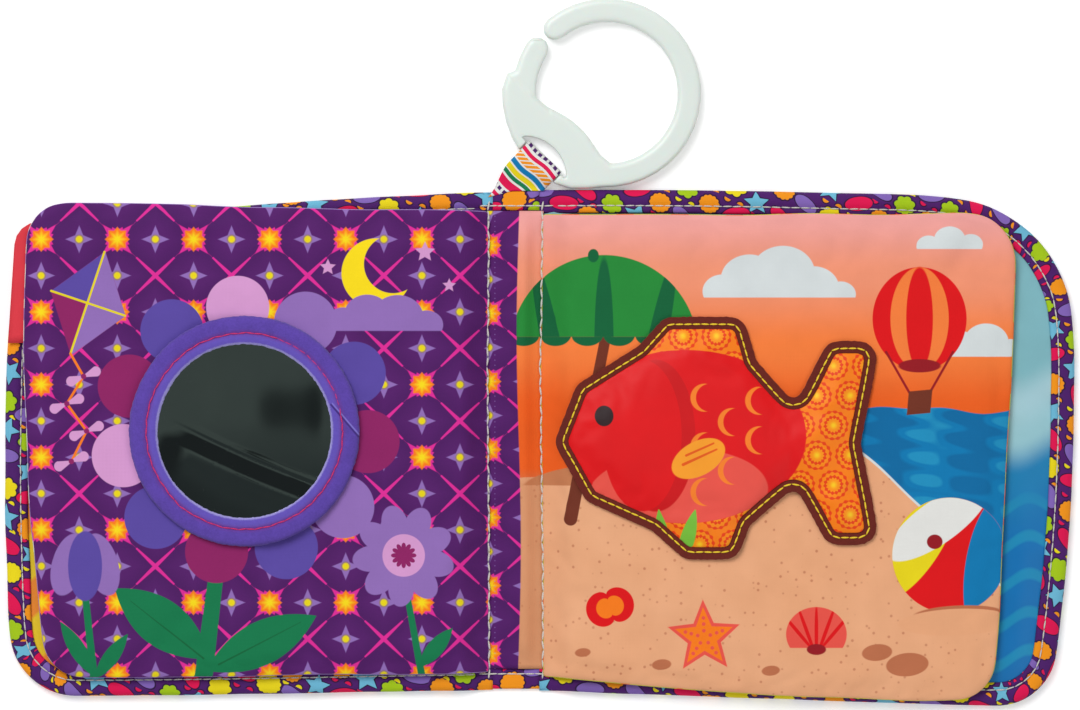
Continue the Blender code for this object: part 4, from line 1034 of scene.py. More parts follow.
def tree_of(points):
    """A search tree over flat points."""
    tree = kdtree.KDTree(len(points))
    for index, point in enumerate(points):
        tree.insert((point.x, point.y, 0), index)
    tree.balance()
    return tree


def signed_area(points):
    """A closed line's area, below 0 where it runs clockwise."""
    return sum(a.x * b.y - b.x * a.y for a, b in zip(points, points[1:] + points[:1])) / 2


def grid_mesh(columns, rows, size=1):
    """A flat square mesh from -size to size."""
    mesh = bmesh.new()
    bmesh.ops.create_grid(mesh, x_segments=columns, y_segments=rows, size=size)
    return mesh


def plate_edge(node, spacing, smooth=True):
    """The outline of a plate-like node's underside, evenly spaced and closed."""
    mesh = bmesh.new()
    mesh.from_mesh(frame["nodes"][node].data)
    bmesh.ops.remove_doubles(mesh, verts=mesh.verts, dist=0.01 * MM)
    links = {}
    for edge in mesh.edges:
        downward = [face.normal.z < -0.6 for face in edge.link_faces]
        upright = [abs(face.normal.z) < 0.5 for face in edge.link_faces]
        if any(downward) and any(upright):
            for first, second in (edge.verts, reversed(edge.verts)):
                links.setdefault(first.index, []).append(second.index)
    mesh.verts.ensure_lookup_table()
    start = next(iter(links))
    loop = [start]
    previous = None
    while True:
        onward = [index for index in links[loop[-1]] if index != previous]
        previous = loop[-1]
        if onward[0] == start or len(loop) > len(links):
            break
        loop.append(onward[0])
    points = [mesh.verts[index].co.copy() for index in loop]
    mesh.free()
    if signed_area(points) < 0:
        points.reverse()
    if smooth:
        return smooth_line(points, spacing, closed=True)[:-1]
    points = [Vector((point.x, point.y)) for point in points]
    edge = []
    for start, end in zip(points, points[1:] + points[:1]):
        edge += even_points([start, end], max(1, round((end - start).length / spacing)) + 1)[:-1]
    return edge


def ease(share):
    """0 to 1, starting and ending gently."""
    share = min(max(share, 0.0), 1.0)
    return share * share * (3 - 2 * share)


def lift(x):
    """How far a layer has risen from the seam at a place: 0 there, 1 at full height."""
    return ease((abs(x) - SEAM - 1.0 * MM) / (10.0 * MM))


def hem_drop(x):
    """How far a cover's hem sinks at a place, towards the seam."""
    return HEM_DROP * (1 - lift(x))


def leaf_drop(x):
    """How far a page leaf sinks at a place, towards the seam."""
    return LEAF_DROP * (1 - lift(x))


def seam_sway(side, y):
    """How far the seam wanders from its straight line at a place."""
    bow = -0.8 if side == RIGHT else -0.5
    bow *= math.exp(-((y - 20 * MM) / (42 * MM)) ** 2)
    return (bow + noise.noise(Vector((y * 60, side, 0))) * 0.25) * MM


class Panel:
    """One panel of the book, by its edge from the foot of the spine round the fore-edge to the head."""

    def __init__(self, node, side, root, spacing, wave=0.0):
        self.side = side
        flat = [vertex.co.xy for vertex in frame["nodes"][node].data.vertices]
        hull = [Vector(flat[index]) for index in geometry.convex_hull_2d(flat)]
        if side == LEFT:
            hull.reverse()
        inner = min(abs(point.x) for point in hull) + 0.6 * MM
        outer = [point for point in hull if abs(point.x) > inner]
        near = [point for point in hull if abs(point.x) <= inner]
        start = next(index for index, point in enumerate(hull)
                     if abs(point.x) > inner and abs(hull[index - 1].x) <= inner)
        outer = [hull[(start + step) % len(hull)] for step in range(len(outer))]
        foot = min(point.y for point in near)
        head = max(point.y for point in near)
        line = [Vector((side * root, foot)), *outer, Vector((side * root, head))]
        if line[1].y > line[-2].y:
            line[1:-1] = line[-2:0:-1]
        self.edge = smooth_line(line, spacing)
        inner_line = offset_line(self.edge, MM, side)
        for index, (point, inner) in enumerate(zip(self.edge[:], inner_line)):
            along = index * spacing
            share = 0.55 + 0.9 * noise.noise(Vector((along * 32, side * 2.5, 0)))
            self.edge[index] = point + (inner - point) / MM * wave * max(share, 0.0)
        self.tree = tree_of(self.edge)
        self.spacing = spacing

    def line(self, inset):
        """The edge, drawn in."""
        return offset_line(self.edge, inset, self.side)

    def rim(self, point):
        """Distance from the edge, and how far along it."""
        _place, index, distance = self.tree.find((point.x, point.y, 0))
        return distance, index * self.spacing

    def sides(self, inset):
        """The foot, fore-edge and head of the panel, each from the spine or foot."""
        line = self.line(inset)
        wide = max(abs(point.x) for point in line)
        tall = max(abs(point.y) for point in line)
        foot = max(range(len(line)), key=lambda index: abs(line[index].x) / wide - line[index].y / tall)
        head = max(range(len(line)), key=lambda index: abs(line[index].x) / wide + line[index].y / tall)
        return line[:foot + 1], line[foot:head + 1], line[head:][::-1]

    def grid(self, columns, rows, inset=0.0):
        """A flat mesh whose rows and columns follow the panel's edge."""
        foot, fore, head = self.sides(inset)
        foot, head = even_points(foot, columns + 1), even_points(head, columns + 1)
        fore = even_points(fore, rows + 1)
        root = even_points([foot[0], head[0]], rows + 1)
        mesh = grid_mesh(columns, rows)
        for vertex in mesh.verts:
            u, v = (vertex.co.x + 1) / 2, (vertex.co.y + 1) / 2
            i, j = round(u * columns), round(v * rows)
            place = foot[i] * (1 - v) + head[i] * v + root[j] * (1 - u) + fore[j] * u
            place -= (root[0] * (1 - u) + fore[0] * u) * (1 - v) + (root[-1] * (1 - u) + fore[-1] * u) * v
            vertex.co = (place.x, place.y, 0)
        if self.side == LEFT:
            bmesh.ops.reverse_faces(mesh, faces=mesh.faces)
        return mesh


def slab(mesh):
    """Thicken a flat mesh into a closed pad. Gives the pad's upper corners."""
    for face in mesh.faces:
        face.material_index = 1
    lower = mesh.faces[:]
    grown = bmesh.ops.extrude_face_region(mesh, geom=lower, use_keep_orig=True)["geom"]
    upper = {item for item in grown if isinstance(item, bmesh.types.BMVert)}
    for item in grown:
        if isinstance(item, bmesh.types.BMFace):
            item.material_index = 0
    for vertex in upper:
        vertex.co.z += MM
    mesh.normal_update()
    bmesh.ops.recalc_face_normals(mesh, faces=mesh.faces)
    return upper


def to_piece(name, mesh, materials, smooth_deg=50):
    """Make a finished mesh a piece at the origin."""
    data = bpy.data.meshes.new(name)
    mesh.to_mesh(data)
    mesh.free()
    for material in materials:
        data.materials.append(material)
    data.shade_smooth()
    if smooth_deg:
        data.set_sharp_from_angle(angle=math.radians(smooth_deg))
    piece = bpy.data.objects.new(name, data)
    bpy.context.scene.collection.objects.link(piece)
    return piece


def mark_places(piece, place=None):
    """Write each point's place on the cloth, in millimetres, into the mesh."""
    data = piece.data
    attribute = data.attributes.get(PLACE) or data.attributes.new(PLACE, "FLOAT_VECTOR", "POINT")
    for vertex in data.vertices:
        spot = place(vertex.co) if place else vertex.co
        attribute.data[vertex.index].vector = spot / MM


def settle(piece):
    """Apply the piece's modifiers to its mesh."""
    graph = bpy.context.evaluated_depsgraph_get()
    graph.update()
    data = bpy.data.meshes.new_from_object(piece.evaluated_get(graph), preserve_all_data_layers=True,
                                           depsgraph=graph)
    piece.modifiers.clear()
    piece.data = data
    return piece


def set_all(item, **settings):
    """Set several of an item's properties."""
    for label, value in settings.items():
        setattr(item, label, value)


def add_modifier(piece, kind, **settings):
    """Give a piece a modifier."""
    modifier = piece.modifiers.new(kind.lower(), kind)
    set_all(modifier, **settings)
    return modifier


def thicken(piece, thickness):
    """Give a sheet its thickness, inwards from its face."""
    add_modifier(piece, "SOLIDIFY", thickness=thickness, offset=-1.0, use_even_offset=True)
    return settle(piece)


def refine(piece):
    """Round a piece off with one subdivision."""
    add_modifier(piece, "SUBSURF", levels=1, render_levels=1)
    return settle(piece)


def puff(piece, pinned, pressure, slack, cap):
    """Fill a pad by simulating its cloth under pressure, and hold how far it may move."""
    before = [vertex.co.copy() for vertex in piece.data.vertices]
    group = piece.vertex_groups.new(name="sewn")
    for index, share in pinned(piece.data.vertices).items():
        group.add([index], share, "REPLACE")
    cloth = add_modifier(piece, "CLOTH")
    set_all(cloth.settings, quality=6, mass=0.15, tension_stiffness=12, compression_stiffness=8,
            shear_stiffness=4, bending_stiffness=0.04, use_pressure=True, uniform_pressure_force=pressure,
            shrink_min=-slack, vertex_group_mass="sewn")
    cloth.settings.effector_weights.gravity = 0
    cloth.collision_settings.use_collision = False
    set_all(cloth.point_cache, frame_start=1, frame_end=PUFF_FRAMES)
    scene = bpy.context.scene
    for step in range(1, PUFF_FRAMES + 1):
        scene.frame_set(step)
    settle(piece)
    scene.frame_set(1)
    for vertex, rest in zip(piece.data.vertices, before):
        move = vertex.co - rest
        reach = move.length
        if reach > 0:
            vertex.co = rest + move * (cap * math.tanh(reach / cap) / reach)
    piece.vertex_groups.clear()


def stitch_row(name, path, settings, thickness, material, body, replaced, length=None, twist=0.0,
               fullness=1.1):
    """A row of separate stitches along a path, each a small pulled-in bead of thread."""
    length = length or settings.stitch_length
    pitch = length + settings.stitch_gap
    total = sum((end - start).length for start, end in zip(path, path[1:]))
    count = max(2, round(total / pitch))
    spots = even_points(path, 2 * count + 1)
    mesh = bmesh.new()
    chance = random.Random(len(path))
    for index in range(count):
        start, middle, end = spots[2 * index:2 * index + 3]
        along = (end - start).normalized()
        lean = Matrix.Rotation(twist * (1 if index % 2 else -1) + chance.uniform(-0.05, 0.05), 4, "Z")
        turn = along.to_track_quat("X", "Z").to_matrix().to_4x4()
        size = Matrix.Diagonal((length * fullness / 2, thickness / 2, thickness / 2, 1))
        bmesh.ops.create_uvsphere(mesh, u_segments=8, v_segments=6, radius=1.0,
                                  matrix=Matrix.Translation(middle) @ turn @ lean @ size)
    piece = to_piece(name, mesh, [material])
    mark_places(piece)
    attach(piece, body)
    if replaced:
        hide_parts(*replaced)


# Settings

def length_property(name, description, default, low=0.0, high=1.0):
    return FloatProperty(name=name, description=description, default=default, min=low, max=high,
                         unit="LENGTH", precision=5)


def colour_property(name, description, default):
    return FloatVectorProperty(name=name, description=description, default=default, size=4, min=0.0,
                               max=1.0, subtype="COLOR")


class SewingSettings(bpy.types.PropertyGroup):
    stitch_length: length_property("Stitch length", "Length of one stitch", 3.0 * MM)
    stitch_gap: length_property("Stitch gap", "Gap between two stitches", 0.22 * MM)
    border_thread: length_property("Border thread", "Thickness of the border thread", 0.52 * MM)
    seam_thread: length_property("Seam thread", "Thickness of the seam thread", 0.68 * MM)
    white: colour_property("White thread", "Colour of the border and seam thread", paint(212, 208, 202))
    pink: colour_property("Pink thread", "Colour of the mirror ring's thread", paint(206, 48, 116))
    yellow: colour_property("Yellow thread", "Colour of the patch's thread", paint(246, 212, 50))


class PageSettings(bpy.types.PropertyGroup):
    columns: IntProperty(name="Columns", description="Mesh columns across a page", default=68, min=8)
    rows: IntProperty(name="Rows", description="Mesh rows up a page", default=72, min=8)
    pressure: FloatProperty(name="Filling", description="Pressure of the filling", default=0.6, min=0.0)
    slack: FloatProperty(name="Slack", description="Spare cloth, as a share", default=0.012, min=0.0,
                         subtype="FACTOR")
    cap: length_property("Most swell", "How far the filling may move the cloth", 0.8 * MM)
    pucker: length_property("Pucker", "Height of the puckers at the seams", 0.28 * MM)
    wave: length_property("Edge wave", "How far the page edges draw in between stitches", 0.8 * MM)


class CoverSettings(bpy.types.PropertyGroup):
    columns: IntProperty(name="Columns", description="Mesh columns across a cover", default=96, min=8)
    rows: IntProperty(name="Rows", description="Mesh rows up a cover", default=96, min=8)
    cloth: length_property("Cloth", "Thickness of the outer cloth", 0.45 * MM)
    fold: length_property("Satin fold", "Height of the lining's soft folds", 0.75 * MM)
    flap: colour_property("Flap", "Colour of the peek flap", paint(220, 58, 70))


class TrimSettings(bpy.types.PropertyGroup):
    ring_felt: colour_property("Ring felt", "Colour of the felt round the mirror", paint(92, 68, 166))
    patch_felt: colour_property("Patch felt", "Colour of the felt under the patch", paint(104, 36, 28))
    plastic: colour_property("Plastic", "Colour of the clip ring", paint(225, 234, 228))
    fuzz: length_property("Fuzz", "How uneven the felt's cut edges are", 0.22 * MM)
    voxel: length_property("Ring detail", "Cell size that the clip ring is rounded with", 0.42 * MM)


class StudioSettings(bpy.types.PropertyGroup):
    floor: colour_property("Floor", "Colour of the floor", paint(247, 247, 247))
    key: FloatProperty(name="Key light", description="Power of the main lamp", default=17.5, unit="POWER")
    fill: FloatProperty(name="Fill light", description="Power of the second lamp", default=4.5, unit="POWER")
    sky: FloatProperty(name="Sky", description="Strength of the light from all round", default=0.40)
    lens: FloatProperty(name="Lens", description="Focal length", default=200.0, unit="CAMERA")


# Pieces

class SOFTBOOK_OT_spine(bpy.types.Operator):
    """Sew the spine cloth, the soft gutter ridge and the two seams"""
    bl_idname = "softbook.spine"
    bl_label = "Spine and seams"

    def execute(self, context):
        sewing = context.scene.softbook_sewing
        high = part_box("spine_cloth")[1]
        fold = high.z / 2
        profile = [(high.y - 6.5 * MM, high.z - 0.15 * MM), (high.y - 5 * MM, high.z),
                   (high.y - fold, high.z)]
        profile += [(high.y - fold + fold * math.sin(turn), fold + fold * math.cos(turn))
                    for turn in (0.5, 1.05, math.pi / 2, 2.1, 2.65)]
        profile += [(high.y - fold, 0.0)]
        under = [((high.y - fold) * (1 - step / 20), 0.0) for step in range(1, 40)]
        rows = profile + under + [(-y, z) for y, z in profile[::-1]]
        mesh = grid_mesh(10, len(rows) - 1)
        runs = [0.0]
        for start, end in zip(rows, rows[1:]):
            runs.append(runs[-1] + math.dist(start, end))
        layer = mesh.verts.layers.float_vector.new(PLACE)
        for vertex in mesh.verts:
            row = round((vertex.co.y + 1) / 2 * (len(rows) - 1))
            y, z = rows[row]
            vertex.co = (vertex.co.x * SPINE_HALF, y, z)
            vertex[layer] = (vertex.co.x / MM, runs[row] / MM, 0)
        piece = thicken(to_piece("spine_cover", mesh, [border_cloth()]), SPINE_THICKNESS)
        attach(piece, "spine")
        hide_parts("spine_cloth", "spine_wadding")

        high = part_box("gutter_strip")[1]
        mesh = grid_mesh(24, 96)
        edge = SEAM + 0.35 * MM
        for vertex in mesh.verts:
            share, y = vertex.co.x, vertex.co.y * high.y
            sway = seam_sway(LEFT, y) * (1 - share) / 2 + seam_sway(RIGHT, y) * (1 + share) / 2
            x = share * edge + sway
            ridge = 2.25 * math.exp(-((share - 0.30) / 0.34) ** 2)
            ridge += math.exp(-((share + 0.3) / 0.36) ** 2)
            ridge *= 1 - abs(share) ** 5
            wrinkle = noise.noise(Vector((x * 90, y * 24, 3.0))) * 0.34
            wrinkle += noise.noise(Vector((x * 190, y * 70, 8.0))) * 0.14
            ends = 1 - 0.75 * ease((abs(y) - high.y + 9 * MM) / (9 * MM))
            vertex.co = (x, y, (1.75 + (ridge + wrinkle * (1 - share ** 4)) * ends) * MM)
        piece = thicken(to_piece("gutter_ridge", mesh, [gutter_cloth()]), INNER_THICKNESS)
        mark_places(piece)
        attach(piece, "spine")
        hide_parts("gutter_strip")

        white = thread("white_sewing_thread", sewing.white)
        for side, name in SIDE_NAMES.items():
            low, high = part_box(name + "_seam_thread")
            path = []
            for step in range(161):
                y = low.y + (high.y - low.y) * step / 160
                inner = ease((SEAM_THREAD_END - abs(y)) / (3 * MM))
                path.append(Vector((side * SEAM + seam_sway(side, y), y, (1.85 + 0.75 * inner) * MM)))
            stitch_row(name + "_seam_stitches", path, sewing, sewing.seam_thread, white, "spine",
                       [name + "_seam_thread"], twist=0.13)
        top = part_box("spine_cloth")[1].z + 0.05 * MM
        for name, y in (("head", END_ROW), ("foot", -END_ROW)):
            path = [Vector(((step / 12 - 1) * (SEAM + 3.4 * MM), y, top)) for step in range(25)]
            stitch_row("spine_" + name + "_stitches", path, sewing, sewing.border_thread, white, "spine", [])
        return {"FINISHED"}


def bend_cover(piece):
    """Bake a cover piece's placement into its mesh."""
    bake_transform(piece)


def cover_cloth(side, name, settings):
    """A cover's outer cloth: its underside, rolled edge and hem."""
    low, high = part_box(name + "_cloth")
    fold = HEM_TOP / 2
    panel = Panel(name + "_cloth", side, SPINE_HALF, 2.0 * MM)
    mesh = panel.grid(settings.columns, settings.rows, fold)
    bmesh.ops.reverse_faces(mesh, faces=mesh.faces)
    layer = mesh.verts.layers.float_vector.new(PLACE)
    for vertex in mesh.verts:
        vertex[layer] = vertex.co / MM
    inner_edge = {vertex for vertex in mesh.verts if abs(abs(vertex.co.x) - SPINE_HALF) < 0.01 * MM}
    edges = [edge for edge in mesh.edges if edge.is_boundary and not set(edge.verts) <= inner_edge]
    spots = panel.line(fold)
    tree = tree_of(spots)
    ring = {}
    for vertex in dict.fromkeys(vertex for edge in edges for vertex in edge.verts):
        index = tree.find(vertex.co)[1]
        inward = (spots[index] - panel.edge[index]).normalized()
        ring[vertex] = (vertex.co.copy(), inward, panel.rim(vertex.co)[1])
    turns = [0.45 * step for step in range(1, 7)]
    steps = [(fold - fold * math.sin(turn), fold - fold * math.cos(turn)) for turn in turns]
    steps += [(inset, HEM_TOP + rise * MM) for inset, rise in (
        (fold, 0.0), (3.2 * MM, 0.12), (4.4 * MM, 0.0), (BORDER_ROW, -0.5), (6.1 * MM, -0.12),
        (7.2 * MM, -0.15), (HEM, -0.5))]
    run = 0.0
    last = (fold, 0.0)
    for inset, height in steps:
        run += math.dist(last, (inset, height))
        last = (inset, height)
        grown = bmesh.ops.extrude_edge_only(mesh, edges=edges)["geom"]
        fresh = {item for item in grown if isinstance(item, bmesh.types.BMVert)}
        edges = [item for item in grown if isinstance(item, bmesh.types.BMEdge)]
        onward = {}
        for vertex in fresh:
            source = next(edge.other_vert(vertex) for edge in vertex.link_edges
                          if edge.other_vert(vertex) in ring)
            start, inward, along = ring[source]
            drop = hem_drop(start.x) * min(max((height - 0.7 * MM) / (2.7 * MM), 0), 1)
            crease = noise.noise(Vector((along * 40, inset * 60, side))) * 0.34 * MM
            crease += noise.noise(Vector((along * 170, inset * 150, side))) * 0.18 * MM
            crease *= min(height / HEM_TOP, 1.0) * lift(start.x)
            sway = noise.noise(Vector((along * 55, side, 4.0))) * 0.35 * MM * (height / HEM_TOP)
            place = start + Vector((*(inward * (inset - fold + sway)), 0))
            vertex.co = (place.x, place.y, height - drop + crease)
            vertex[layer] = (start - Vector((*(inward * run), 0))) / MM
            onward[vertex] = (start, inward, along)
        ring = onward
    mesh.normal_update()
    piece = thicken(to_piece(name + "_shell", mesh, [bpy.data.materials["printed_border"]]), settings.cloth)
    bend_cover(piece)
    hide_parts(name + "_cloth")
    width, height = high.x - low.x, high.y - low.y
    height + 2 * HEM + 6 * MM
    return panel


def cover_lining(side, name, panel, settings, sewing):
    """The padded inside of a cover, with soft folds, and its border stitches."""
    mesh = panel.grid(settings.columns, settings.rows, HEM - 1.6 * MM)
    base = HEM_TOP - 0.95 * MM
    for vertex in mesh.verts:
        point = vertex.co
        reach, along = panel.rim(point)
        reach -= HEM
        swell = 1 - math.exp(-max(reach, 0) / (5 * MM))
        fold = noise.noise(Vector((point.x * 105, point.y * 17, 5.0 + side))) * settings.fold
        fold += noise.noise(Vector((point.x * 50, point.y * 38, 9.0 + side))) * settings.fold * 0.8
        gather = math.sin(along / (5.5 * MM) + 3 * noise.noise(Vector((along * 20, 0, 0))))
        fold += gather * 0.1 * MM * (1 - swell)
        rise = lift(point.x)
        sunk = 1.55 * (1 - rise) + 0.8 * (1 - ease((abs(point.x) - SEAM + MM) / (5 * MM)))
        vertex.co.z = base + (1.35 * MM * swell + fold * swell) * rise - sunk * MM
    material = right_lining() if side == RIGHT else left_lining()
    piece = thicken(to_piece(name + "_inside", mesh, [material]), INNER_THICKNESS)
    mark_places(piece)
    bend_cover(piece)
    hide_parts(name + "_lining", name + "_wadding")

    path = [Vector((point.x, point.y, HEM_TOP - 0.15 * MM - hem_drop(point.x)))
            for point in panel.line(BORDER_ROW) if abs(point.x) > SEAM + 3.0 * MM]
    stitch_row(name + "_border_stitches", path, sewing, sewing.border_thread,
               bpy.data.materials["white_sewing_thread"], name, [name + "_border_stitch"])


class SOFTBOOK_OT_covers(bpy.types.Operator):
    """Sew both covers: outer cloth with its hem, padded lining and border stitches"""
    bl_idname = "softbook.covers"
    bl_label = "Covers"

    def execute(self, context):
        settings = context.scene.softbook_cover
        sewing = context.scene.softbook_sewing
        for side, label in SIDE_NAMES.items():
            name = label + "_cover"
            panel = cover_cloth(side, name, settings)
            cover_lining(side, name, panel, settings, sewing)
        self.make_flap(settings)
        return {"FINISHED"}

    def make_flap(self, settings):
        """The peek flap, with a faint ripple that grows towards its free edge."""
        low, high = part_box("peek_flap")
        mesh = cut_out(plate_edge("peek_flap", 2.0 * MM, smooth=False), low, high, CUT_PITCH)
        for vertex in mesh.verts:
            free = (high.x - vertex.co.x) / (high.x - low.x)
            wave = noise.noise(Vector((vertex.co.x * 50, vertex.co.y * 60, 2.0)))
            vertex.co.z = high.z - 0.05 * MM + wave * 0.12 * MM * free
        mesh.normal_update()
        if mesh.faces[:][0].normal.z < 0:
            bmesh.ops.reverse_faces(mesh, faces=mesh.faces)
        piece = to_piece("flap_cloth", mesh, [plain_cloth("flap_cloth", settings.flap, 0.5)])
        thicken(piece, SPINE_THICKNESS)
        mark_places(piece)
        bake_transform(piece)
        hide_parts("peek_flap")


def cut_out(outline, low, high, pitch):
    """A flat mesh with an outline, cut in squares so that it can bend."""
    mesh = bmesh.new()
    mesh.faces.new([mesh.verts.new((point.x, point.y, 0)) for point in outline])
    for axis in (0, 1):
        count = int((high[axis] - low[axis]) / pitch)
        for step in range(1, count + 1):
            place = Vector((0, 0, 0))
            normal = Vector((0, 0, 0))
            place[axis] = low[axis] + step * (high[axis] - low[axis]) / (count + 1)
            normal[axis] = 1
            bmesh.ops.bisect_plane(mesh, geom=mesh.verts[:] + mesh.edges[:] + mesh.faces[:],
                                   plane_co=place, plane_no=normal)
    return mesh


def page_heights(side, point, panel, pucker):
    """The lower and upper height of a page leaf at a place."""
    reach, along = panel.rim(point)
    away = abs(point.x) - SEAM
    middle = LEAF_LOW + 0.65 * MM - leaf_drop(point.x) - 1.25 * MM * (1 - ease(away / (3.2 * MM)))
    root = ease(away / (9 * MM))
    rounded = math.sqrt(1 - (1 - min(reach / (1.6 * MM), 1)) ** 2)
    half = (0.28 + 0.37 * rounded) * MM * (0.65 + 0.35 * root)
    swell = (1 - math.exp(-reach / (4.2 * MM))) * root
    seed = 4.0 + side
    puckers = math.sin(along / (2.3 * MM) + 4 * noise.noise(Vector((along * 22, 0, seed))))
    puckers *= math.exp(-reach / (4.5 * MM)) * pucker * (0.4 + noise.noise(Vector((along * 35, 2, seed))))
    broad = noise.noise(Vector((point.x * 24, point.y * 20, seed))) * 0.36 * MM
    broad += noise.noise(Vector((point.x * 75, point.y * 60, seed + 3))) * 0.1 * MM
    upper = middle + half + 1.05 * MM * swell + puckers * rounded + broad * swell
    lower = middle - half + puckers * 0.4 * rounded
    return lower, min(upper, LEAF_TOP)


class SOFTBOOK_OT_pages(bpy.types.Operator):
    """Sew and fill the two padded page leaves"""
    bl_idname = "softbook.pages"
    bl_label = "Page leaves"

    def execute(self, context):
        settings = context.scene.softbook_page
        fronts = {LEFT: left_page(), RIGHT: right_page()}
        backs = {LEFT: spotted_cloth("lavender_back_cloth", paint(160, 128, 196), WHITE, 18.0),
                 RIGHT: spotted_cloth("lime_back_cloth", paint(214, 208, 66), BURST_ORANGE, 18.0)}
        for side, label in SIDE_NAMES.items():
            name = label + "_leaf"
            panel = Panel(name + "_back", side, SEAM - 0.1 * MM, 1.0 * MM, settings.wave)
            mesh = panel.grid(settings.columns, settings.rows)
            for vertex in mesh.verts:
                near = 1 - ease((abs(vertex.co.x) - SEAM) / (9 * MM))
                vertex.co.x += seam_sway(side, vertex.co.y) * near
            upper = slab(mesh)
            for vertex in mesh.verts:
                low, high = page_heights(side, vertex.co, panel, settings.pucker)
                vertex.co.z = high if vertex in upper else low
            piece = to_piece(name + "_pad", mesh, [fronts[side], backs[side]], smooth_deg=0)

            def pinned(vertices):
                shares = {}
                for vertex in vertices:
                    reach = min(panel.rim(vertex.co)[0], abs(vertex.co.x) - SEAM)
                    shares[vertex.index] = 1.0 if reach < 1.2 * MM else max(0.0, 0.5 - reach / (12 * MM))
                return shares
            puff(piece, pinned, settings.pressure, settings.slack, settings.cap)
            for vertex in piece.data.vertices:
                vertex.co.z = min(vertex.co.z, LEAF_TOP + 0.15 * MM)
            mark_places(piece)
            refine(piece)
            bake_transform(piece)
            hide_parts(name + "_front", name + "_back", name + "_wadding")
        return {"FINISHED"}


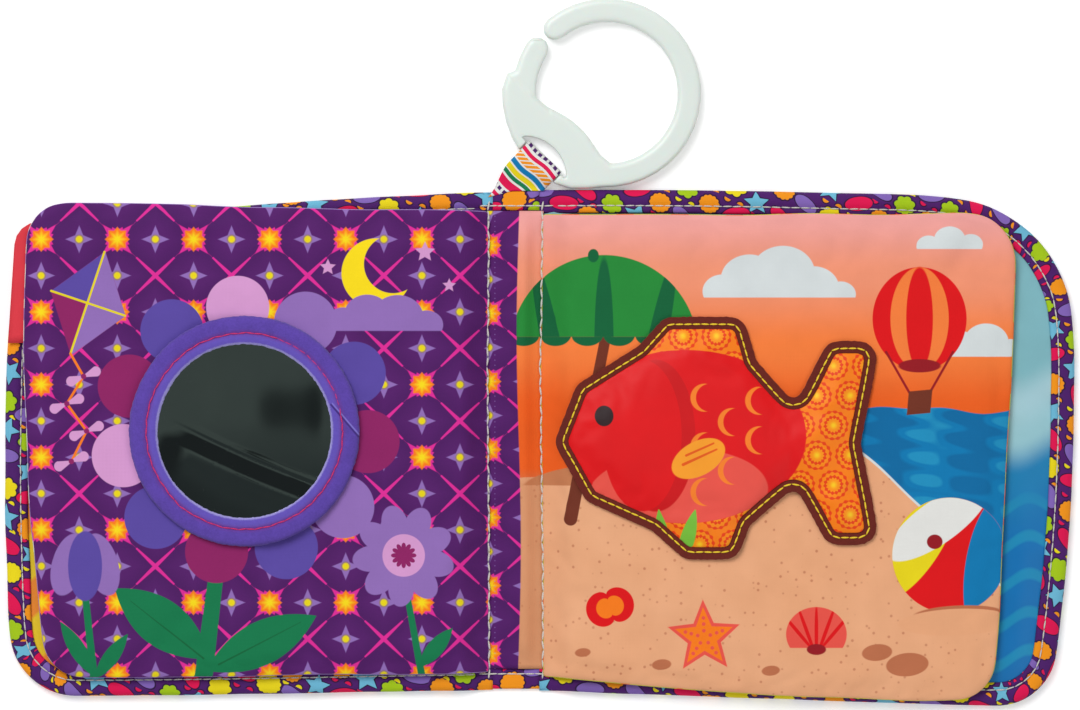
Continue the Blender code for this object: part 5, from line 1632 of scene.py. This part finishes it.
class SOFTBOOK_OT_mirror(bpy.types.Operator):
    """Make the soft mirror, its felt ring and the ring's stitches"""
    bl_idname = "softbook.mirror"
    bl_label = "Mirror"

    def execute(self, context):
        trim = context.scene.softbook_trim
        sewing = context.scene.softbook_sewing
        low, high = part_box("mirror_film")
        centre = (low + high) / 2
        radius = (high.x - low.x) / 2
        mesh = grid_mesh(90, 90, radius)
        length = (CREASE[1] - CREASE[0]).length
        crease = (CREASE[1] - CREASE[0]).normalized()
        for vertex in mesh.verts:
            wide = max(abs(vertex.co.x), abs(vertex.co.y))
            reach = vertex.co.length
            if reach > 0:
                vertex.co *= wide / reach
            ripple = noise.noise(Vector((vertex.co.x * 38, vertex.co.y * 22, 9.0))) * 0.045
            vertex.co += centre
            off = vertex.co.xy - CREASE[0]
            run, away = off.dot(crease), (off.x * crease.y - off.y * crease.x) / MM
            bend = ease(run / (14 * MM)) * ease((length + 4 * MM - run) / (12 * MM))
            away -= math.sin(math.pi * min(max(run / length, 0), 1))
            slope = min(max((away + CREASE_HALF) / (2 * CREASE_HALF), 0.0), 1.0)
            ripple += bend * 0.27 * slope * (1 - ease((away - 3.4) / 24))
            ripple += bend * 0.02 * math.exp(-((away + 4.2) / 0.7) ** 2)
            vertex.co.z = high.z + (ripple - 0.08) * MM
        mesh.normal_update()
        piece = to_piece("mirror_sheet", mesh, [mirror_skin()], smooth_deg=0)
        refine(piece)
        thicken(piece, 0.25 * MM)
        mark_places(piece)
        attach(piece, "left_leaf")
        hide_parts("mirror_film", "mirror_backing")

        low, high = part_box("mirror_felt_ring")
        outer = (high.x - low.x) / 2
        inner = radius - 4.3 * MM
        top = high.z
        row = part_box("mirror_stitch")[1].x - centre.x - 0.3 * MM
        section = [(reach + step * MM, level + rise * MM) for reach, step, level, rise in (
            (inner, -0.1, top, -0.95), (inner, 0.0, top, -0.35), (inner, 0.8, top, 0.05),
            (row, -1.0, top, 0.12), (row, -0.45, top, -0.12), (row, 0.0, top, -0.35),
            (row, 0.45, top, -0.12), (row, 1.0, top, 0.12), ((row + outer) / 2, 0.0, top, 0.2),
            (outer, -1.1, top, -0.1), (outer, -0.2, top, -0.7), (outer, 0.0, low.z, 0.7),
            (outer, -0.3, low.z, 0.0), (radius, 0.4, low.z, 0.0), (radius, 0.3, top, -1.05))]
        join = (FELT_JOIN[1] - FELT_JOIN[0]).normalized()
        mesh = bmesh.new()
        corners = [mesh.verts.new((centre.x + reach, centre.y, height)) for reach, height in section]
        edges = [mesh.edges.new((corners[index - 1], corners[index])) for index in range(len(corners))]
        bmesh.ops.spin(mesh, geom=corners + edges, cent=(centre.x, centre.y, 0), axis=(0, 0, 1),
                       angle=math.tau, steps=320, use_merge=True)
        bmesh.ops.remove_doubles(mesh, verts=mesh.verts, dist=0.005 * MM)
        mesh.normal_update()
        bmesh.ops.recalc_face_normals(mesh, faces=mesh.faces)
        for vertex in mesh.verts:
            away = vertex.co - centre
            away.z = 0
            fuzz = noise.noise(vertex.co * 900) + 0.6 * noise.noise(vertex.co * 2300)
            sway = noise.noise(Vector((away.x * 40, away.y * 40, 1.0))) * 0.35 * MM
            vertex.co += away.normalized() * (fuzz * trim.fuzz + sway)
            vertex.co.z += 0.1 * MM * noise.noise(Vector((away.x * 120, away.y * 120, 7.0)))
            off = vertex.co.xy - FELT_JOIN[0]
            past = off.y * join.x - off.x * join.y
            lap = ease((past + 0.2 * MM) / (0.5 * MM)) * (1 - ease(past / (24 * MM)))
            lap *= ease(away.x / (12 * MM))
            vertex.co.z += 0.4 * MM * lap * ease((vertex.co.z - low.z) / (1.2 * MM))
        finish_felt = ring_felt(trim.ring_felt, centre / MM, inner / MM, row / MM,
                                [point / MM for point in FELT_JOIN])
        piece = to_piece("mirror_felt", mesh, [finish_felt], smooth_deg=0)
        mark_places(piece)
        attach(piece, "left_leaf")
        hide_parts("mirror_felt_ring")

        path = []
        for step in range(181):
            turn = math.tau * step / 180
            reach = row + noise.noise(Vector((math.cos(turn) * 3, math.sin(turn) * 3, 0))) * 0.4 * MM
            path.append(Vector((centre.x + reach * math.cos(turn), centre.y + reach * math.sin(turn),
                                top - 0.08 * MM)))
        stitch_row("mirror_stitches", path, sewing, 0.5 * MM, thread("pink_sewing_thread", sewing.pink),
                   "left_leaf", ["mirror_stitch"], length=2.4 * MM, twist=0.1, fullness=1.3)
        return {"FINISHED"}


class SOFTBOOK_OT_patch(bpy.types.Operator):
    """Make the padded felt patch and its stitches"""
    bl_idname = "softbook.patch"
    bl_label = "Padded patch"

    def execute(self, context):
        trim = context.scene.softbook_trim
        sewing = context.scene.softbook_sewing
        low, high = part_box("patch_felt")
        outline = plate_edge("patch_felt", 1.0 * MM)
        rough = [point + Vector((noise.noise(Vector((point.x * 900, point.y * 900, 0))),
                                 noise.noise(Vector((point.x * 900, point.y * 900, 5))))) * trim.fuzz
                 for point in outline]
        mesh = cut_out(rough, low, high, CUT_PITCH)
        upper = slab(mesh)
        top = high.z
        for vertex in mesh.verts:
            vertex.co.z = (top if vertex in upper else top - 1.2 * MM) - leaf_drop(vertex.co.x)
        piece = to_piece("patch_base", mesh, [felt("patch_base_felt", trim.patch_felt)] * 2, smooth_deg=60)
        add_modifier(piece, "BEVEL", width=0.3 * MM, segments=2, limit_method="ANGLE")
        settle(piece)
        mark_places(piece)
        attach(piece, "right_leaf")
        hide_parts("patch_felt")
        abs(signed_area(outline))

        rim = plate_edge("patch_top", 1.2 * MM)
        tree = tree_of(rim)
        low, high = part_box("patch_top")
        mesh = cut_out(rim, low, high, 1.9 * MM)
        upper = slab(mesh)
        for vertex in mesh.verts:
            _place, index, reach = tree.find((vertex.co.x, vertex.co.y, 0))
            swell = 1 - math.exp(-reach / (3.6 * MM))
            puckers = math.sin(index * 0.9) * math.exp(-reach / (3 * MM)) * 0.12 * MM * min(reach / MM, 1)
            height = top + 0.35 * MM + (high.z - top - 0.2 * MM) * swell + puckers
            vertex.co.z = height if vertex in upper else top + 0.05 * MM
            vertex.co.z -= leaf_drop(vertex.co.x)
        piece = to_piece("patch_pad", mesh, [fish_cloth()] * 2, smooth_deg=0)

        def pinned(vertices):
            shares = {}
            for vertex in vertices:
                reach = tree.find((vertex.co.x, vertex.co.y, 0))[2]
                shares[vertex.index] = 1.0 if reach < 0.6 * MM else 0.0
            return shares
        puff(piece, pinned, 0.8, 0.015, 0.9 * MM)
        floor = top + 0.02 * MM
        for vertex in piece.data.vertices:
            vertex.co.z = max(vertex.co.z, floor - leaf_drop(vertex.co.x))
        mark_places(piece)
        refine(piece)
        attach(piece, "right_leaf")
        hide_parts("patch_top", "patch_wadding")

        line = offset_line(outline, PATCH_ROW, 1, closed=True)
        path = [Vector((point.x, point.y, top + 0.16 * MM - leaf_drop(point.x)))
                for point in line + line[:1]]
        stitch_row("patch_stitches", path, sewing, 0.62 * MM, thread("yellow_sewing_thread", sewing.yellow),
                   "right_leaf", ["patch_stitch"], length=2.6 * MM)
        return {"FINISHED"}


class SOFTBOOK_OT_ribbon(bpy.types.Operator):
    """Fold the ribbon round the ring's bar and sew it into the spine's head"""
    bl_idname = "softbook.ribbon"
    bl_label = "Ribbon loop"

    def execute(self, context):
        joint = next(item for item in frame["joints"] if item["name"] == "clip_swing")
        bar = Vector(joint["pos_m"])
        along = -Vector(joint["axis"]).normalized()
        outward = Vector((along.y, -along.x, 0))
        root_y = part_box("spine_cloth")[1].y - 0.05 * MM
        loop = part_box("ribbon_loop")
        radius = (loop[1].z - loop[0].z) / 2 - 0.2 * MM
        bent = RIBBON_BEND_SHARE / 2
        mesh = grid_mesh(14, 44)
        for vertex in mesh.verts:
            across = vertex.co.x * RIBBON_HALF
            share = (vertex.co.y + 1) / 2
            start = bar + along * across
            reach = (start.y - root_y) / -outward.y
            side = 1 if share < 0.5 else -1
            off = abs(share - 0.5)
            if off < bent:
                angle = (share - 0.5) / bent * RIBBON_BEND
                run = -math.cos(angle) * radius
                height = -math.sin(angle) * radius
            else:
                far = (off - bent) / (0.5 - bent)
                begin = -math.cos(RIBBON_BEND) * radius
                run = begin + (reach - begin) * far
                height = side * radius * math.sin(RIBBON_BEND) * (1 - ease(far * 1.15))
                height += side * 0.3 * MM * ease(far)
            gather = 0.0
            if run > 0:
                gather = ease((run / max(reach, MM) - 0.35) / 0.65) * 0.42
                height += noise.noise(Vector((across * 70, share * 5, 1.0))) * 0.4 * MM * ease(off * 4 - 0.4)
                height -= 1.3 * MM * ease(run / max(reach, MM))
            place = start + outward * run + along * max(0.0, -across) * gather
            vertex.co = (place.x, place.y, bar.z + height)
        mesh.normal_update()
        piece = to_piece("ribbon_band", mesh, [ribbon_cloth()], smooth_deg=0)

        def on_ribbon(place):
            """A place across and along the ribbon."""
            off = place - bar
            return Vector((off.dot(along), off.dot(outward), 0))
        add_modifier(piece, "SOLIDIFY", thickness=0.4 * MM, offset=0.0)
        settle(piece)
        mark_places(piece, on_ribbon)
        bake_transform(piece)
        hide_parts("ribbon_loop")
        return {"FINISHED"}


class SOFTBOOK_OT_ring(bpy.types.Operator):
    """Round off the moulded clip ring"""
    bl_idname = "softbook.ring"
    bl_label = "Clip ring"

    def execute(self, context):
        trim = context.scene.softbook_trim
        mesh = bmesh.new()
        mesh.from_mesh(frame["nodes"]["clip_ring"].data)
        bmesh.ops.remove_doubles(mesh, verts=mesh.verts, dist=0.005 * MM)
        piece = to_piece("ring_body", mesh, [moulded_plastic(trim.plastic)], smooth_deg=0)
        add_modifier(piece, "REMESH", mode="VOXEL", voxel_size=trim.voxel)
        add_modifier(piece, "SMOOTH", factor=0.5, iterations=7)
        settle(piece)
        low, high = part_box("clip_ring")
        middle = (low.z + high.z) / 2
        for vertex in piece.data.vertices:
            if vertex.co.x < 11.5 * MM and vertex.co.y < 132 * MM:
                past = (vertex.co.xy - RING_STEP).dot(RING_STEP_WAY)
                vertex.co.z -= (vertex.co.z - middle) * 0.16 * ease(past / (0.7 * MM))
        piece.data.shade_smooth()
        mark_places(piece)
        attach(piece, "ring")
        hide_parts("clip_ring")
        return {"FINISHED"}


def lamp(name, place, size, power):
    """A large soft lamp, aimed at the origin."""
    data = bpy.data.lights.new(name, "AREA")
    data.shape = "DISK"
    data.size = size
    data.energy = power
    item = bpy.data.objects.new(name, data)
    item.location = place
    item.rotation_euler = (-Vector(place)).to_track_quat("-Z", "Y").to_euler()
    bpy.context.scene.collection.objects.link(item)


def seen_white(tree):
    """1 on rays from the camera, in gloss and through glass, 0 on rays that light the book."""
    path = tree.nodes.new("ShaderNodeLightPath")
    camera, glossy, through = (Wire(tree, path.outputs[label]) for label in (
        "Is Camera Ray", "Is Glossy Ray", "Is Transmission Ray"))
    return camera.does("MAXIMUM", glossy).does("MAXIMUM", through)


class SOFTBOOK_OT_stage(bpy.types.Operator):
    """Lay the floor and set the lamps and the camera"""
    bl_idname = "softbook.stage"
    bl_label = "Stage"

    def execute(self, context):
        studio = context.scene.softbook_studio
        mesh = grid_mesh(1, 1, FLOOR_HALF)
        for vertex in mesh.verts:
            vertex.co.z = -0.1 * MM
        floor = to_piece("floor", mesh, [self.floor_finish(studio.floor)])
        mesh = grid_mesh(1, 1, CARD_HALF)
        for vertex in mesh.verts:
            vertex.co += CARD_PLACE
        card = to_piece("mirror_card", mesh, [self.card_finish()])
        set_all(card, visible_camera=False, visible_diffuse=False, visible_shadow=False)
        lamp("key_lamp", (-0.55, 0.85, 1.35), 1.0, studio.key)
        lamp("fill_lamp", (0.9, -0.5, 1.3), 1.1, studio.fill)
        world = bpy.data.worlds.new("studio")
        world.use_nodes = True
        backdrop = world.node_tree.nodes["Background"]
        level = seen_white(world.node_tree) * (1.0 - studio.sky) + studio.sky
        connect(world.node_tree, level, backdrop.inputs["Strength"])
        backdrop.inputs["Color"].default_value = (1, 1, 1, 1)
        scene = context.scene
        scene.world = world
        scene.view_settings.view_transform = "Standard"
        data = bpy.data.cameras.new("camera")
        set_all(data, lens=studio.lens, sensor_width=SENSOR, clip_end=20.0)
        camera = bpy.data.objects.new("camera", data)
        height = IMAGE_WIDTH * PIXEL * data.lens / data.sensor_width
        camera.location = ((IMAGE_WIDTH / 2 - ORIGIN_PIXEL[0]) * PIXEL,
                           (ORIGIN_PIXEL[1] - IMAGE_HEIGHT / 2) * PIXEL, height + SCALE_HEIGHT)
        scene.collection.objects.link(camera)
        scene.camera = camera
        return {"FINISHED"}

    def floor_finish(self, colour):
        """A matt pale floor that reads as white to the camera where no shadow falls."""
        material, tree, shader = new_material("floor")
        shader.inputs["Base Color"].default_value = colour
        shader.inputs["Roughness"].default_value = 0.9
        shader.inputs["Specular IOR Level"].default_value = 0.1
        shader.inputs["Emission Strength"].default_value = FLOOR_GLOW
        seen = seen_white(tree)
        connect(tree, joined(tree, seen, seen, seen), shader.inputs["Emission Color"])
        return material

    def card_finish(self):
        """A dark card that only the mirror sees. Its glow is painted in patches, darker at low y and away
        from one point, with one dark spot: a painted reflection for the mirror.
        """
        material, tree, shader = new_material("dark_card")
        shader.inputs["Base Color"].default_value = (0, 0, 0, 1)
        shader.inputs["Specular IOR Level"].default_value = 0.0
        coordinates = tree.nodes.new("ShaderNodeTexCoord")
        point = Wire(tree, coordinates.outputs["Object"])
        x, y, _z = point.split()
        # Painted reflection: the card glows, and its patches, darker parts and spot are what the mirror
        # shows.
        patches = cloudy(tree, point, 9.0, 2.0)
        glow = ramp(tree, patches, [(0.0, paint(48, 55, 55)), (0.5, paint(62, 70, 68)),
                                    (1.0, paint(74, 83, 78))])
        low = ((-0.02 - y) / 0.05).clamped()
        glow = mixed(tree, low * 0.85, glow, paint(38, 44, 45))
        far = (reach_of(x + 0.21, y + 0.03) * 16.0 - 1.9).clamped()
        glow = mixed(tree, far, glow, paint(31, 35, 36))
        spot = use_group(tree, "printed_blob", point, (-0.176, -0.013, 0), (0.009, 0.020, 0), 0.0, 0.003)
        glow = mixed(tree, spot, glow, paint(26, 30, 31))
        connect(tree, glow, shader.inputs["Emission Color"])
        shader.inputs["Emission Strength"].default_value = 1.0
        return material


STEPS = (
    SOFTBOOK_OT_spine, SOFTBOOK_OT_covers, SOFTBOOK_OT_pages, SOFTBOOK_OT_mirror, SOFTBOOK_OT_patch,
    SOFTBOOK_OT_ribbon, SOFTBOOK_OT_ring, SOFTBOOK_OT_stage,
)
SETTINGS = {
    "softbook_sewing": SewingSettings, "softbook_page": PageSettings, "softbook_cover": CoverSettings,
    "softbook_trim": TrimSettings, "softbook_studio": StudioSettings,
}


class SOFTBOOK_PT_panel(bpy.types.Panel):
    """The soft book's steps and settings"""
    bl_idname = "SOFTBOOK_PT_panel"
    bl_label = "Soft Book"
    bl_space_type = "VIEW_3D"
    bl_region_type = "UI"
    bl_category = "Soft Book"

    def draw(self, context):
        for step in STEPS:
            self.layout.operator(step.bl_idname)
        for label in SETTINGS:
            box = self.layout.box()
            group = getattr(context.scene, label)
            for key in group.__annotations__:
                box.prop(group, key)


def register():
    for kind in (*SETTINGS.values(), *STEPS, SOFTBOOK_PT_panel):
        bpy.utils.register_class(kind)
    for label, kind in SETTINGS.items():
        setattr(bpy.types.Scene, label, PointerProperty(type=kind))


def unregister():
    for label in SETTINGS:
        delattr(bpy.types.Scene, label)
    for kind in (SOFTBOOK_PT_panel, *reversed(STEPS), *reversed(SETTINGS.values())):
        bpy.utils.unregister_class(kind)


def main():
    """Make every piece and the stage."""
    register()
    for step in STEPS:
        group, action = step.bl_idname.split(".")
        getattr(getattr(bpy.ops, group), action)()


if __name__ == "__main__":
    main()
